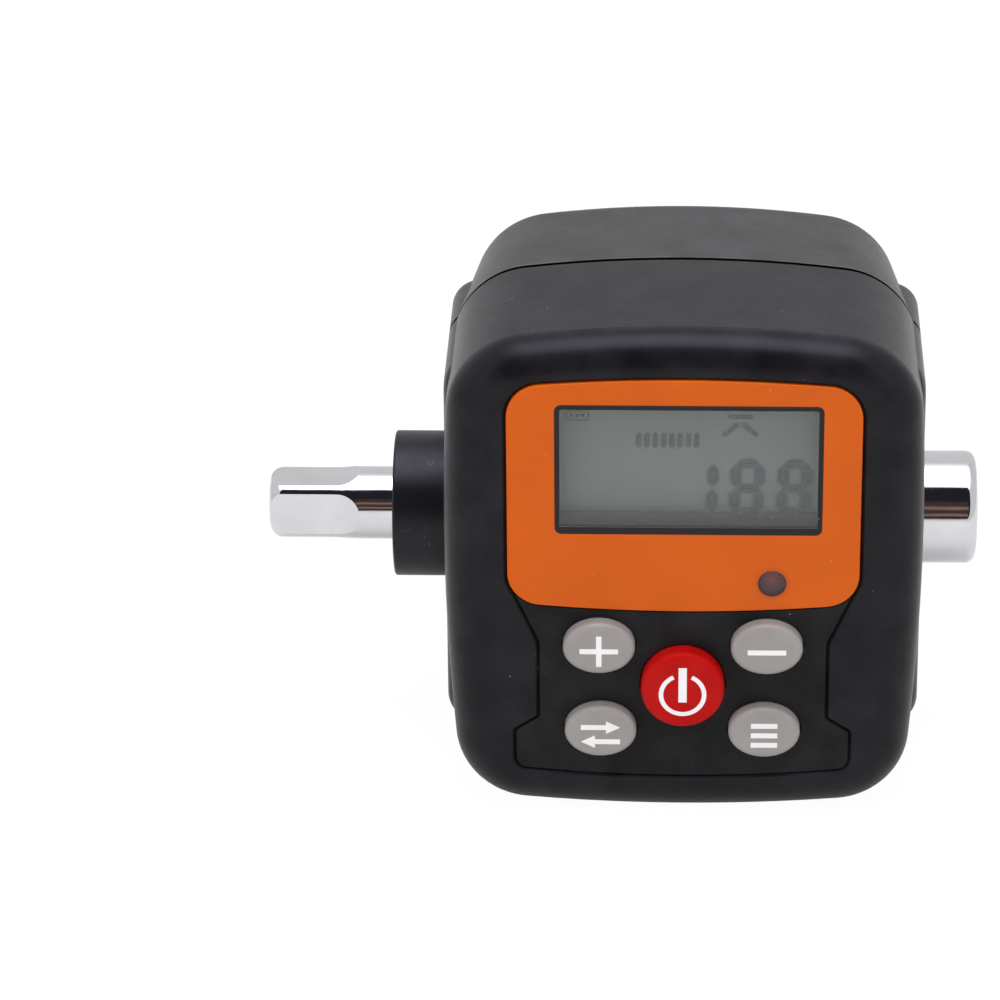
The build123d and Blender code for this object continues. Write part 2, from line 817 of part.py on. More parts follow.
# Torque shaft, turned, milled square at one end and broached square at the other
with BuildPart() as torque_shaft:
    tip_x = -left_reach
    mouth_x = right_reach
    square_end_x = tip_x + drive_length
    shank_start_x = square_end_x + run_out_length
    with BuildSketch(profile_plane) as profile:
        with BuildLine():
            Polyline(
                (tip_x, 0),
                (tip_x, drive_corner_d / 2),
                (square_end_x, drive_corner_d / 2),
                (shank_start_x, shank_r),
                (-bush_inner_x, shank_r),
                (-bush_inner_x, socket_r),
                (neck_from, socket_r),
                (neck_from, neck_d / 2),
                (neck_to, neck_d / 2),
                (neck_to, socket_r),
                (mouth_x, socket_r),
                (mouth_x, 0),
                close=True,
            )
        make_face()
        fillet(profile.vertices().group_by(Axis.X)[0].sort_by(Axis.Y)[-1], tip_round)
        fillet(profile.vertices().group_by(Axis.X)[-1].sort_by(Axis.Y)[-1], socket_end_r)
        fillet(profile.vertices().group_by(Axis.Y)[1], neck_r)
    revolve(axis=shaft_axis)
    # Flats of the male square, each running out on the cutter's radius
    cut_rise = shank_r + cutter_clear - drive_square / 2
    cut_run = run_out_length * cutter_reach
    cut_r = (cut_run**2 + cut_rise**2) / (2 * cut_rise)
    for turn in (0, 90, 180, 270):
        flat_plane = Plane(
            origin=(body_x, shaft_y, shaft_z),
            x_dir=(1, 0, 0),
            z_dir=(0, cos(radians(turn)), sin(radians(turn))),
        )
        with BuildSketch(flat_plane):
            with BuildLine():
                start = (tip_x - cutter_clear, drive_square / 2)
                flat_end = (square_end_x, drive_square / 2)
                rise_end = (square_end_x + cut_run, drive_square / 2 + cut_rise)
                Line(start, flat_end)
                RadiusArc(flat_end, rise_end, -cut_r)
                Polyline(rise_end, (rise_end[0], 2 * shank_r), (start[0], 2 * shank_r), start)
            make_face()
        extrude(amount=2 * shank_r, both=True, mode=Mode.SUBTRACT)
    # Female square with drilled root, detent groove and chamfered mouth
    with BuildSketch(cross_plane(mouth_x)):
        RectangleRounded(socket_square, socket_square, socket_corner_r)
    extrude(amount=-socket_depth, mode=Mode.SUBTRACT)
    with BuildSketch(cross_plane(mouth_x)):
        Circle(socket_drill_d / 2)
    extrude(amount=-socket_drill_depth, mode=Mode.SUBTRACT)
    with BuildSketch(cross_plane(mouth_x - socket_groove_from_mouth)):
        Circle(socket_groove_d / 2)
    extrude(amount=-socket_groove_width, mode=Mode.SUBTRACT)
    with BuildSketch(cross_plane(mouth_x)):
        Rectangle(socket_square + 2 * socket_chamfer, socket_square + 2 * socket_chamfer)
    extrude(amount=-socket_chamfer, taper=45, mode=Mode.SUBTRACT)
    # Flats for the strain gauges
    neck_middle = (neck_from + neck_to) / 2
    with BuildSketch(Plane(origin=(body_x + neck_middle, shaft_y, shaft_z), z_dir=(0, 0, 1))):
        with Locations((0, neck_d / 2), (0, -neck_d / 2)):
            Rectangle(neck_flat_length, neck_d - neck_flats)
    extrude(amount=neck_d, both=True, mode=Mode.SUBTRACT)
    # Hole for the detent ball, narrowed at its mouth to keep the ball in
    ball_r = ball_d / 2
    ball_sink = ball_r - ball_proud
    mouth_r = (ball_r**2 - ball_sink**2) ** 0.5 + ball_lip_clearance
    ball_hole_r = ball_r + ball_clearance
    ball_x = body_x + tip_x + ball_from_tip
    ball_y = shaft_y + drive_square / 2
    with BuildSketch(Plane(origin=(ball_x, ball_y, shaft_z), x_dir=(1, 0, 0), z_dir=(0, 0, 1))):
        with BuildLine():
            Polyline(
                (0, ball_r),
                (mouth_r, ball_r),
                (mouth_r, 0),
                (ball_hole_r, -ball_sink / 2),
                (ball_hole_r, -ball_hole_depth),
                (0, -ball_hole_depth),
                close=True,
            )
        make_face()
    revolve(axis=Axis((ball_x, ball_y, shaft_z), (0, 1, 0)), mode=Mode.SUBTRACT)
save(torque_shaft, "torque_shaft")

# Detent ball and its spring
with BuildPart() as detent_ball:
    with Locations((ball_x, ball_y - ball_sink, shaft_z)):
        Sphere(ball_r)
save(detent_ball, "detent_ball")

with BuildPart() as detent_spring:
    spring_foot_y = ball_y - ball_hole_depth + spring_wire_d / 2 + screw_fit
    coil_r = (spring_coil_d - spring_wire_d) / 2
    ball_touch_y = ball_y - ball_sink - (ball_r**2 - coil_r**2) ** 0.5
    spring_length = ball_touch_y - spring_wire_d / 2 - shaft_fit - spring_foot_y
    with BuildLine() as coil:
        Helix(
            pitch=spring_length / spring_turns,
            height=spring_length,
            radius=coil_r,
            center=(ball_x, spring_foot_y, shaft_z),
            direction=(0, 1, 0),
        )
    with BuildSketch(Plane(origin=coil.line @ 0, z_dir=coil.line % 0)):
        Circle(spring_wire_d / 2)
    sweep(path=coil.line, is_frenet=True)
save(detent_spring, "detent_spring")

# Collar ring against the left cheek, with the holes for its grub screw and the pin
with BuildPart() as collar_ring:
    collar_x = -cheek_half - collar_length
    with BuildSketch(cross_plane(collar_x)):
        Circle(collar_od / 2)
    extrude(amount=collar_length)
    fillet(collar_ring.edges(), collar_edge_r)
    with BuildSketch(cross_plane(collar_x)):
        Circle(shank_r + shaft_fit)
    extrude(amount=collar_length, mode=Mode.SUBTRACT)
    with BuildSketch(Plane(origin=(body_x + collar_x + collar_length / 2, shaft_y, shaft_z),
                           z_dir=(0, 0, -1))):
        Circle(grub_d / 2 + screw_fit)
    extrude(amount=collar_od, mode=Mode.SUBTRACT)
    add(pin_hole(), mode=Mode.SUBTRACT)
save(collar_ring, "collar_ring")

with BuildPart() as collar_grub_screw:
    grub_plane = Plane(
        origin=(body_x + collar_x + collar_length / 2, shaft_y, shaft_z - shank_r - shaft_fit),
        z_dir=(0, 0, -1),
    )
    with BuildSketch(grub_plane):
        Circle(grub_d / 2)
    extrude(amount=grub_length)
    with BuildSketch(grub_plane.offset(grub_length)):
        RegularPolygon(grub_d / 4, 6)
    extrude(amount=-grub_length / 2, mode=Mode.SUBTRACT)
save(collar_grub_screw, "collar_grub_screw")

with BuildPart() as locating_pin:
    with BuildSketch(cross_plane(-cheek_half - pin_in_collar)):
        with Locations((pin_circle_r, 0)):
            Circle(pin_d / 2)
    extrude(amount=pin_in_collar + pin_in_housing)
save(locating_pin, "locating_pin")

# Bushes in the side walls
with BuildPart() as left_bush:
    with BuildSketch(cross_plane(-cheek_half)):
        Circle(left_bush_r - shaft_fit)
        Circle(shank_r + shaft_fit, mode=Mode.SUBTRACT)
    extrude(amount=bush_length)
save(left_bush, "left_bush")

with BuildPart() as right_bush:
    with BuildSketch(cross_plane(cheek_half)):
        Circle(right_bush_r - shaft_fit)
        Circle(socket_r + shaft_fit, mode=Mode.SUBTRACT)
    extrude(amount=-bush_length)
save(right_bush, "right_bush")

# Strain gauges on the flats of the torsion section
with BuildPart() as strain_gauges:
    gauge_y = neck_flats / 2 + gauge_t / 2
    with Locations(
        (body_x + neck_middle, shaft_y - gauge_y, shaft_z),
        (body_x + neck_middle, shaft_y + gauge_y, shaft_z),
    ):
        Box(gauge_length, gauge_t, gauge_width)
save(strain_gauges, "strain_gauges")

# Lead from the front gauge to its plug on the board
with BuildPart() as gauge_lead:
    gauge_face_y = shaft_y - neck_flats / 2 - gauge_t
    plug_y = front_y + board_back + plug_t
    turn_y = (gauge_face_y + plug_y) / 2
    plug_x = body_x + gauge_plug_place[0]
    plug_z = gauge_plug_place[1]
    with BuildLine() as route:
        FilletPolyline(
            (body_x + neck_middle, gauge_face_y, shaft_z),
            (body_x + neck_middle, turn_y, shaft_z),
            (plug_x, turn_y, plug_z),
            (plug_x, plug_y, plug_z),
            radius=wire_bend_r,
        )
    with BuildSketch(Plane(origin=route.line @ 0, z_dir=route.line % 0)):
        Circle(wire_d / 2)
    sweep(path=route.line)
save(gauge_lead, "gauge_lead")

# Two round cells side by side in the compartment
with BuildPart() as battery_cells:
    cell_rows = [pocket_z - (cell_d + cell_gap) / 2, pocket_z + (cell_d + cell_gap) / 2]
    cell_y = front_y + cell_depth
    for row, z in enumerate(cell_rows):
        toward = 1 if row else -1
        can_start = body_x - toward * (cell_length + cell_nub_length) / 2
        with BuildSketch(Plane(origin=(can_start, cell_y, z), z_dir=(toward, 0, 0))):
            Circle(cell_d / 2)
        extrude(amount=cell_length)
        with BuildSketch(Plane(origin=(can_start + toward * cell_length, cell_y, z), z_dir=(toward, 0, 0))):
            Circle(cell_nub_d / 2)
        extrude(amount=cell_nub_length)
save(battery_cells, "battery_cells")

# Leaf contacts at both ends: one bridges the cells, two carry the leads
with BuildPart() as battery_contacts:
    wall_x = pocket_w / 2
    bridge_h = cell_d + cell_gap + contact_w
    leaf_reach = pocket_end - contact_t - screw_fit
    with Locations((body_x + wall_x - contact_t / 2, cell_y, pocket_z)):
        Box(contact_t, contact_w, bridge_h)
    with Locations(*[(body_x - wall_x + contact_t / 2, cell_y, z) for z in cell_rows]):
        Box(contact_t, contact_w, contact_w)
    for side in (-1, 1):
        for z in cell_rows:
            root = Plane(origin=(body_x + side * (wall_x - contact_t), cell_y, z), x_dir=(-side, 0, 0),
                         z_dir=(0, 0, 1))
            with BuildSketch(root):
                with BuildLine():
                    Polyline(
                        (0, contact_w / 2),
                        (leaf_reach, contact_bump),
                        (leaf_reach, -contact_bump),
                        (0, -contact_w / 2),
                        (0, contact_t - contact_w / 2),
                        (leaf_reach - contact_t, -contact_bump + contact_t),
                        (leaf_reach - contact_t, contact_bump - contact_t),
                        (0, contact_w / 2 - contact_t),
                        close=True,
                    )
                make_face()
            extrude(amount=contact_w / 4, both=True)
save(battery_contacts, "battery_contacts")

# Leads from the compartment to the board
with BuildPart() as battery_leads:
    lead_x = body_x - wall_x + wire_d
    plug_x = body_x + battery_plug_place[0]
    plug_z = battery_plug_place[1]
    start_y = front_y + pocket_floor_depth
    turn_y = (start_y + plug_y) / 2
    for side in (-1, 1):
        low = plug_z + side * wire_d
        high = pocket_z + side * wire_d
        with BuildLine(mode=Mode.PRIVATE) as route:
            FilletPolyline(
                (lead_x, start_y, high),
                (lead_x, turn_y, high),
                (plug_x, (turn_y + plug_y) / 2, low),
                (plug_x, plug_y, low),
                radius=wire_bend_r,
            )
        with BuildSketch(Plane(origin=route.line @ 0, z_dir=route.line % 0)):
            Circle(wire_d / 2)
        sweep(path=route.line)
save(battery_leads, "battery_leads")

# Battery door with a locating rib, and its two countersunk screws
with BuildPart() as battery_door:
    with BuildSketch(face_plane(full_depth)):
        with Locations((0, pocket_z)):
            RectangleRounded(door_w, door_h, door_corner_r)
    extrude(amount=door_t)
    with BuildSketch(face_plane(full_depth - door_t)):
        with Locations((0, pocket_z)):
            Rectangle(pocket_w - 2 * door_gap, pocket_h - 2 * door_gap)
            Rectangle(pocket_w - 2 * pocket_wall, pocket_h - 2 * pocket_wall, mode=Mode.SUBTRACT)
    extrude(amount=door_rib_t)
    for x, z in door_screw_places:
        screw_axis = Axis((body_x + x, front_y + full_depth, z), (0, -1, 0))
        head_plane = Plane(origin=screw_axis.position, x_dir=(1, 0, 0), z_dir=(0, 0, 1))
        with BuildSketch(head_plane):
            with BuildLine():
                Polyline(
                    (0, 0),
                    (door_head_d / 2 + 2 * screw_fit, 0),
                    (door_screw_d / 2 + 2 * screw_fit, -door_head_t - screw_fit),
                    (door_screw_d / 2 + 2 * screw_fit, -door_t),
                    (0, -door_t),
                    close=True,
                )
            make_face()
        revolve(axis=screw_axis, mode=Mode.SUBTRACT)
save(battery_door, "battery_door")

with BuildPart() as battery_door_screws:
    for x, z in door_screw_places:
        screw_axis = Axis((body_x + x, front_y + full_depth, z), (0, -1, 0))
        head_plane = Plane(origin=screw_axis.position, x_dir=(1, 0, 0), z_dir=(0, 0, 1))
        with BuildSketch(head_plane):
            with BuildLine():
                Polyline(
                    (0, 0),
                    (door_head_d / 2, 0),
                    (door_screw_d / 2, -door_head_t),
                    (door_screw_d / 2, -door_screw_length),
                    (0, -door_screw_length),
                    close=True,
                )
            make_face()
        revolve(axis=screw_axis)
    add(cross_recess(full_depth, door_head_d, door_screw_places), mode=Mode.SUBTRACT)
save(battery_door_screws, "battery_door_screws")

# Case screws, driven from the rear into the front shell's bosses
with BuildPart() as case_screws:
    seat_depth = front_depth + case_screw_seat
    with BuildSketch(face_plane(seat_depth)):
        with Locations(*boss_places):
            Circle(case_screw_d / 2)
    extrude(amount=case_screw_seat + case_screw_in_front)
    with BuildSketch(face_plane(seat_depth + case_head_t)):
        with Locations(*boss_places):
            Circle(case_head_d / 2)
    extrude(amount=case_head_t)
    add(cross_recess(seat_depth + case_head_t, case_head_d, boss_places), mode=Mode.SUBTRACT)
save(case_screws, "case_screws")

# Screws that hold the board on its posts
with BuildPart() as board_screws:
    with BuildSketch(face_plane(board_back)):
        with Locations(*post_places):
            Circle(board_screw_d / 2)
    extrude(amount=board_t + board_screw_length)
    with BuildSketch(face_plane(board_back + board_head_t)):
        with Locations(*post_places):
            Circle(board_head_d / 2)
    extrude(amount=board_head_t)
save(board_screws, "board_screws")
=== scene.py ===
"""Digital torque meter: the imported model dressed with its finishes, prints and studio."""

from __future__ import annotations

import json
import logging
import math
from abc import ABC, abstractmethod
from dataclasses import dataclass, field
from enum import Enum
from typing import Union

import bpy
import numpy as np
from mathutils import Matrix, Vector

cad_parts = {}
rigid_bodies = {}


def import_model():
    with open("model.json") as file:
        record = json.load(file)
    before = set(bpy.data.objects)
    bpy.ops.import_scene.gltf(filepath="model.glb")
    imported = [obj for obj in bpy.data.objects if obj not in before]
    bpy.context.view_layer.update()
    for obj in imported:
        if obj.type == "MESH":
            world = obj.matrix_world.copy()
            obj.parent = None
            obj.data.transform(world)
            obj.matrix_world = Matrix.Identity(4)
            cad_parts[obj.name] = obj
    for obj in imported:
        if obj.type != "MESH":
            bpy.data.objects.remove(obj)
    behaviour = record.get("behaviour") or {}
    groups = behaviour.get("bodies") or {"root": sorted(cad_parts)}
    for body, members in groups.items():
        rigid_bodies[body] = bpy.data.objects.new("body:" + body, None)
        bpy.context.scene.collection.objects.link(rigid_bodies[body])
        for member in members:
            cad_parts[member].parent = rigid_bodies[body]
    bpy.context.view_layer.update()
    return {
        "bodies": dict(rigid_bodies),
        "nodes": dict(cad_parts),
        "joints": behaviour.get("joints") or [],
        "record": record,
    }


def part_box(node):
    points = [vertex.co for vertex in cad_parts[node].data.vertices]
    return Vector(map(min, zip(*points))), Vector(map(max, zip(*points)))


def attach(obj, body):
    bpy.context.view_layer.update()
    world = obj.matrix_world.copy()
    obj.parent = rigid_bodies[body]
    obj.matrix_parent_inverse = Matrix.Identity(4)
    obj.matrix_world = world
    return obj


LOG = logging.getLogger("torque_meter")
MM = 0.001
INK_ATTRIBUTE = "ink"
# Painted shade: the plain black shown where a groove is too deep for light.
SHADE_BLACK = (0.001, 0.001, 0.001)
ORANGE = (0.645, 0.107, 0.004)
WHITE = (1.0, 1.0, 1.0)

Triple = tuple[float, float, float]
Colour = Triple
Edges = tuple[float, float, float, float]
Spot = tuple[float, float]
Node = bpy.types.Node
Socket = bpy.types.NodeSocket
Number = Union[float, "Value"]


def shaded(colour: Colour, factor: float) -> Colour:
    """A colour made darker or lighter by a factor."""
    return tuple(part * factor for part in colour)


class Step(Enum):
    """One step of arithmetic, as the Math node names it."""

    PLUS = "ADD"
    MINUS = "SUBTRACT"
    TIMES = "MULTIPLY"
    POWER = "POWER"
    SIZE = "ABSOLUTE"
    ROOT = "SQRT"
    WAVE = "SINE"
    ABOVE = "GREATER_THAN"
    LARGEST = "MAXIMUM"


class Value:
    """A shader socket that holds a number, with Python's arithmetic on it."""

    def __init__(self, sheet: Sheet, socket: Socket) -> None:
        """Wraps an output socket of a sheet's node."""
        self.sheet = sheet
        self.socket = socket

    def _math(self, step: Step, first: Number, second: Number = 0.0, clamp: bool = False) -> Value:
        """Adds one Math node.

        Args:
            step: What the node works out.
            first: The first number.
            second: The second number.
            clamp: Whether the result is held between 0 and 1.

        Returns:
            The node's result.
        """
        settings = {"operation": step.value, "use_clamp": clamp}
        node = self.sheet.node("ShaderNodeMath", settings, {0: first, 1: second})
        return Value(self.sheet, node.outputs[0])

    def __add__(self, other: Number) -> Value:
        """Sum."""
        return self._math(Step.PLUS, self, other)

    __radd__ = __add__

    def __sub__(self, other: Number) -> Value:
        """Difference."""
        return self._math(Step.MINUS, self, other)

    def __rsub__(self, other: Number) -> Value:
        """Difference the other way round."""
        return self._math(Step.MINUS, other, self)

    def __mul__(self, other: Number) -> Value:
        """Product."""
        return self._math(Step.TIMES, self, other)

    def __abs__(self) -> Value:
        """Absolute value."""
        return self._math(Step.SIZE, self)

    def __pow__(self, other: Number) -> Value:
        """Power."""
        return self._math(Step.POWER, self, other)

    def above(self, other: Number) -> Value:
        """1 where this is greater than the other, else 0."""
        return self._math(Step.ABOVE, self, other)

    def largest(self, other: Number) -> Value:
        """The larger of the two."""
        return self._math(Step.LARGEST, self, other)

    def root(self) -> Value:
        """Square root."""
        return self._math(Step.ROOT, self)

    def wave(self) -> Value:
        """Sine."""
        return self._math(Step.WAVE, self)

    def reach(self, other: Value) -> Value:
        """Distance from 0,0 to the point with these two as its coordinates."""
        return (self * self + other * other).root()

    def ramp(self, zero: float, one: float) -> Value:
        """Straight ramp, held between 0 and 1; it falls where one lies below zero.

        Args:
            zero: The number that gives 0.
            one: The number that gives 1.

        Returns:
            The ramp's value.
        """
        return self._math(Step.TIMES, self - zero, 1.0 / (one - zero), clamp=True)


class Sheet:
    """A node tree, with short ways to add nodes to it."""

    def __init__(self, tree: bpy.types.NodeTree) -> None:
        """Takes the empty node tree of a material or of the world."""
        self.tree = tree
        self._place: Socket | None = None

    def node(self, kind: str, settings: dict | None = None, inputs: dict | None = None) -> Node:
        """Adds a node, sets it up and fills its sockets.

        Args:
            kind: The node's type.
            settings: The node's own properties.
            inputs: Socket name or number to a number, a colour, a Value or a socket.

        Returns:
            The node.
        """
        made = self.tree.nodes.new(kind)
        for name, setting in (settings or {}).items():
            setattr(made, name, setting)
        for name, given in (inputs or {}).items():
            target = made.inputs[name]
            source = given.socket if isinstance(given, Value) else given
            if isinstance(source, Socket):
                self.tree.links.new(source, target)
            else:
                target.default_value = (*source, 1.0) if target.type == "RGBA" else source
        return made

    @property
    def place(self) -> Socket:
        """The point on the object, in metres, in the part's own frame."""
        if self._place is None:
            self._place = self.node("ShaderNodeTexCoord").outputs["Object"]
        return self._place

    def axes(self) -> tuple[Value, Value, Value]:
        """The point's X, Y and Z."""
        parts = self.node("ShaderNodeSeparateXYZ", inputs={0: self.place})
        return tuple(Value(self, parts.outputs[axis]) for axis in range(3))

    def ray(self, kind: str) -> Value:
        """1 for rays of one kind, named as the Light Path node names it, else 0."""
        return Value(self, self.node("ShaderNodeLightPath").outputs[f"Is {kind} Ray"])

    def noise(self, size: float, detail: float = 2.0, stretch: Triple | None = None) -> Value:
        """Cloudy noise.

        Args:
            size: The size of its clouds in metres.
            detail: Octaves of finer noise.
            stretch: How much finer it is along X, Y and Z.

        Returns:
            The noise, about 0.5 in the middle.
        """
        at = self.place
        if stretch:
            finer = self.node("ShaderNodeVectorMath", {"operation": "MULTIPLY"}, {0: at, 1: stretch})
            at = finer.outputs[0]
        filled = {"Vector": at, "Scale": 1.0 / size, "Detail": detail}
        return Value(self, self.node("ShaderNodeTexNoise", inputs=filled).outputs["Fac"])

    def cells(self, size: float) -> Value:
        """Distance to the nearest of scattered points, as a share of their spacing in metres."""
        made = self.node("ShaderNodeTexVoronoi", inputs={"Vector": self.place, "Scale": 1.0 / size})
        return Value(self, made.outputs["Distance"])

    def mix(self, mask: Number, first: Colour | Socket, second: Colour | Socket) -> Socket:
        """Blends two colours.

        Args:
            mask: 0 gives the first colour and 1 the second.
            first: A colour or a socket.
            second: A colour or a socket.

        Returns:
            The colour.
        """
        made = self.node("ShaderNodeMix", {"data_type": "RGBA"}, {0: mask, 6: first, 7: second})
        return made.outputs[2]

    def join(self, mask: Number, first: Node, second: Node) -> Node:
        """Mixes two shaders' nodes: mask 0 gives the first and 1 the second."""
        parts = {0: mask, 1: first.outputs[0], 2: second.outputs[0]}
        return self.node("ShaderNodeMixShader", inputs=parts)

    def bump(self, height: Value, depth: float, strength: float = 1.0) -> Socket:
        """A Bump node.

        Args:
            height: The height pattern.
            depth: Its depth in metres.
            strength: How much of it shows.

        Returns:
            The normal.
        """
        filled = {"Strength": strength, "Distance": depth, "Height": height}
        return self.node("ShaderNodeBump", inputs=filled).outputs["Normal"]

    def surface(self, groove: Value | None = None, **inputs: Number | Colour | Socket) -> None:
        """Adds the Principled shader and the output.

        Args:
            groove: Mask of painted shade along a groove too deep for light, which shows plain black.
            inputs: Socket names with _ for a space, and their values.
        """
        filled = {name.replace("_", " "): given for name, given in inputs.items()}
        shown = self.node("ShaderNodeBsdfPrincipled", inputs=filled)
        # Painted shade: plain black diffuse mixed in over the groove's mask.
        if groove is not None:
            black = self.node("ShaderNodeBsdfDiffuse", inputs={"Color": SHADE_BLACK})
            shown = self.join(groove, shown, black)
        self.node("ShaderNodeOutputMaterial", inputs={"Surface": shown.outputs[0]})


@dataclass(frozen=True)
class Finish(ABC):
    """One finish of the object, built once as a material."""

    name: str

    @abstractmethod
    def paint(self, sheet: Sheet) -> None:
        """Fills the material's nodes.

        Args:
            sheet: The material's empty tree.
        """

    def material(self) -> bpy.types.Material:
        """The finish's material, made on first use."""
        full_name = f"finish_{self.name}"
        known = bpy.data.materials.get(full_name)
        if known:
            return known
        made = bpy.data.materials.new(full_name)
        made.use_nodes = True
        made.node_tree.nodes.clear()
        self.paint(Sheet(made.node_tree))
        return made


@dataclass(frozen=True)
class MouldedPlastic(Finish):
    """Moulded plastic with a fine eroded grain, soft mottling, a few dust specks, and painted highlight
    and shade at a seam.
    """

    colour: Colour
    roughness: float = 0.45
    gloss: float = 0.17
    haze: float = 0.0
    skin: float = 0.0
    grain: float = 0.42 * MM
    depth: float = 0.065 * MM
    mottle: float = 0.2
    dust: float = 0.5
    streak: Colour | None = None
    seam_y: float | None = None
    seam_w: float = 0.6 * MM
    cloud: float = 9 * MM
    rub: float = 3.2 * MM
    flow: float = 5 * MM
    dust_pitch: float = 3.4 * MM
    dust_tint: Colour = (0.45, 0.43, 0.4)
    # Colour of the painted highlight on the rounded edge just behind a seam.
    edge_highlight_tint: Colour = (0.07, 0.068, 0.07)
    haze_tint: Colour = (1.0, 0.93, 0.93)

    def paint(self, sheet: Sheet) -> None:
        """Grain drives the bump, slow clouds the colour, and sparse cells the dust."""
        grain = sheet.noise(self.grain, 3.0)
        cloud = sheet.noise(self.cloud, 3.0)
        rubbed = sheet.noise(self.rub, 4.0, (1.0, 1.0, 2.5)).ramp(0.58, 0.72)
        speck = sheet.cells(self.dust_pitch).ramp(0.05, 0.03) * sheet.noise(self.cloud).ramp(0.5, 0.58)
        light = tuple(min(1.0, part + 0.004) for part in shaded(self.colour, 1 + self.mottle))
        tint = sheet.mix(cloud.ramp(0.35, 0.65), shaded(self.colour, 1 - self.mottle), light)
        if self.streak:
            flow = sheet.noise(self.flow, 4.0, (0.3, 1.0, 1.6)).ramp(0.5, 0.72)
            tint = sheet.mix(flow * 0.7, tint, self.streak)
        tint = sheet.mix(speck * self.dust, tint, self.dust_tint)
        groove = None
        if self.seam_y is not None:
            _, y, _ = sheet.axes()
            # Painted highlight: a lighter line, in places, on the rounded edge just behind the seam.
            edge_highlight = abs(y - self.seam_y - self.seam_w * 1.7).ramp(0.4 * MM, 0.1 * MM)
            tint = sheet.mix(edge_highlight * cloud.ramp(0.4, 0.55), tint, self.edge_highlight_tint)
            # Painted shade: plain black over the seam's groove and a little past its edges.
            groove = abs(y - self.seam_y).ramp(self.seam_w * 1.25, self.seam_w)
        sheet.surface(
            groove,
            Base_Color=tint,
            Roughness=self.roughness + (grain - 0.5) * 0.22 - rubbed * 0.05,
            Specular_IOR_Level=self.gloss,
            Sheen_Weight=self.haze,
            Sheen_Roughness=0.45,
            Sheen_Tint=self.haze_tint,
            Coat_Weight=self.skin,
            Coat_Roughness=0.25,
            Coat_IOR=1.3,
            Normal=sheet.bump(grain + rubbed * 0.15, self.depth),
        )


@dataclass(frozen=True)
class ClearLens(Finish):
    """Clear lens plate: coloured where it is printed behind, open over display and lamp, with painted
    shade and a painted highlight over the lamp.
    """

    window: Edges
    lamp: Spot
    ink: Colour = ORANGE
    line: Colour = (0.018, 0.016, 0.0175)
    window_r: float = 1.1 * MM
    line_inside: float = 0.75 * MM
    line_outside: float = 0.4 * MM
    line_foot: float = 1.35 * MM
    lamp_r: float = 3.1 * MM
    # Distance from the lamp's window to the ring of painted shade on the print.
    halo: float = 0.42 * MM
    rim_shade_w: float = 0.6 * MM
    glow_rise: float = 1.0 * MM
    glow_r: float = 2.6 * MM
    edge: float = 0.06 * MM
    cloud: float = 14 * MM
    hair: float = 1.2 * MM
    dust_pitch: float = 3.6 * MM
    open_tint: Colour = (0.52, 0.56, 0.54)
    shade_ring_tint: Colour = (0.36, 0.075, 0.03)
    smoke: Colour = (0.12, 0.095, 0.105)
    # Painted highlight and painted shade in the smoke over the lamp.
    smoke_highlight: Colour = (0.3, 0.115, 0.11)
    smoke_rim_shade: Colour = (0.12, 0.03, 0.025)
    dust_tint: Colour = (0.8, 0.7, 0.6)

    def paint(self, sheet: Sheet) -> None:
        """Distance to the window's rounded rectangle and to the lamp's circle makes the masks."""
        x, _, z = sheet.axes()
        left, right, low, high = self.window
        across = (abs(x - (left + right) / 2) - ((right - left) / 2 - self.window_r)).largest(0.0)
        along = (abs(z - (low + high) / 2) - ((high - low) / 2 - self.window_r)).largest(0.0)
        away = across.reach(along) - self.window_r
        edge = self.edge
        outside = away.ramp(-self.line_inside - edge, -self.line_inside + edge)
        outside = outside.largest((z - low).ramp(self.line_foot + edge, self.line_foot - edge))
        past_line = away.ramp(self.line_outside - edge, self.line_outside + edge)
        lamp_x, lamp_z = self.lamp
        from_lamp = (x - lamp_x).reach(z - lamp_z) - self.lamp_r
        round_lamp = from_lamp.ramp(-edge, edge)
        # Painted shade: a darker ring on the print round the lamp's window, half mixed in.
        ring = abs(from_lamp - self.halo).ramp(self.halo, 0.05 * MM)
        # Painted shade: the smoke over the lamp darkens towards the window's edge.
        rim = from_lamp.ramp(-self.rim_shade_w, 0.0)
        # Painted highlight: a pale pink spot of the lamp's rounded head, set above its middle.
        dome_highlight = (x - lamp_x).reach(z - lamp_z - self.glow_rise).ramp(self.glow_r, 0.2 * MM)
        cloud = sheet.noise(self.cloud, 2.0).ramp(0.3, 0.7)
        ink = sheet.mix(cloud, self.ink, shaded(self.ink, 0.93))
        ink = sheet.mix(ring * 0.5, ink, self.shade_ring_tint)
        colour = sheet.mix(past_line, self.line, ink)
        colour = sheet.mix(outside, self.open_tint, colour)
        smoke = sheet.mix(dome_highlight, self.smoke, self.smoke_highlight)
        smoke = sheet.mix(rim * 0.8, smoke, self.smoke_rim_shade)
        colour = sheet.mix(round_lamp, smoke, colour)
        hair = sheet.noise(self.hair, 4.0, (0.25, 1.0, 1.0)).ramp(0.62, 0.8)
        speck = sheet.cells(self.dust_pitch).ramp(0.036, 0.022)
        dusty = sheet.noise(13 * MM).ramp(0.52, 0.56)
        sheet.surface(
            Base_Color=sheet.mix(speck * dusty * 0.6, colour, self.dust_tint),
            Roughness=0.16 + hair * 0.12,
            Alpha=outside * round_lamp + (1.0 - outside) * 0.1 + (1.0 - round_lamp) * 0.45,
            Specular_IOR_Level=0.14,
            Coat_Weight=0.04 + hair * 0.04,
            Coat_Roughness=0.06,
            Normal=sheet.bump(hair, 0.004 * MM, 0.3),
        )


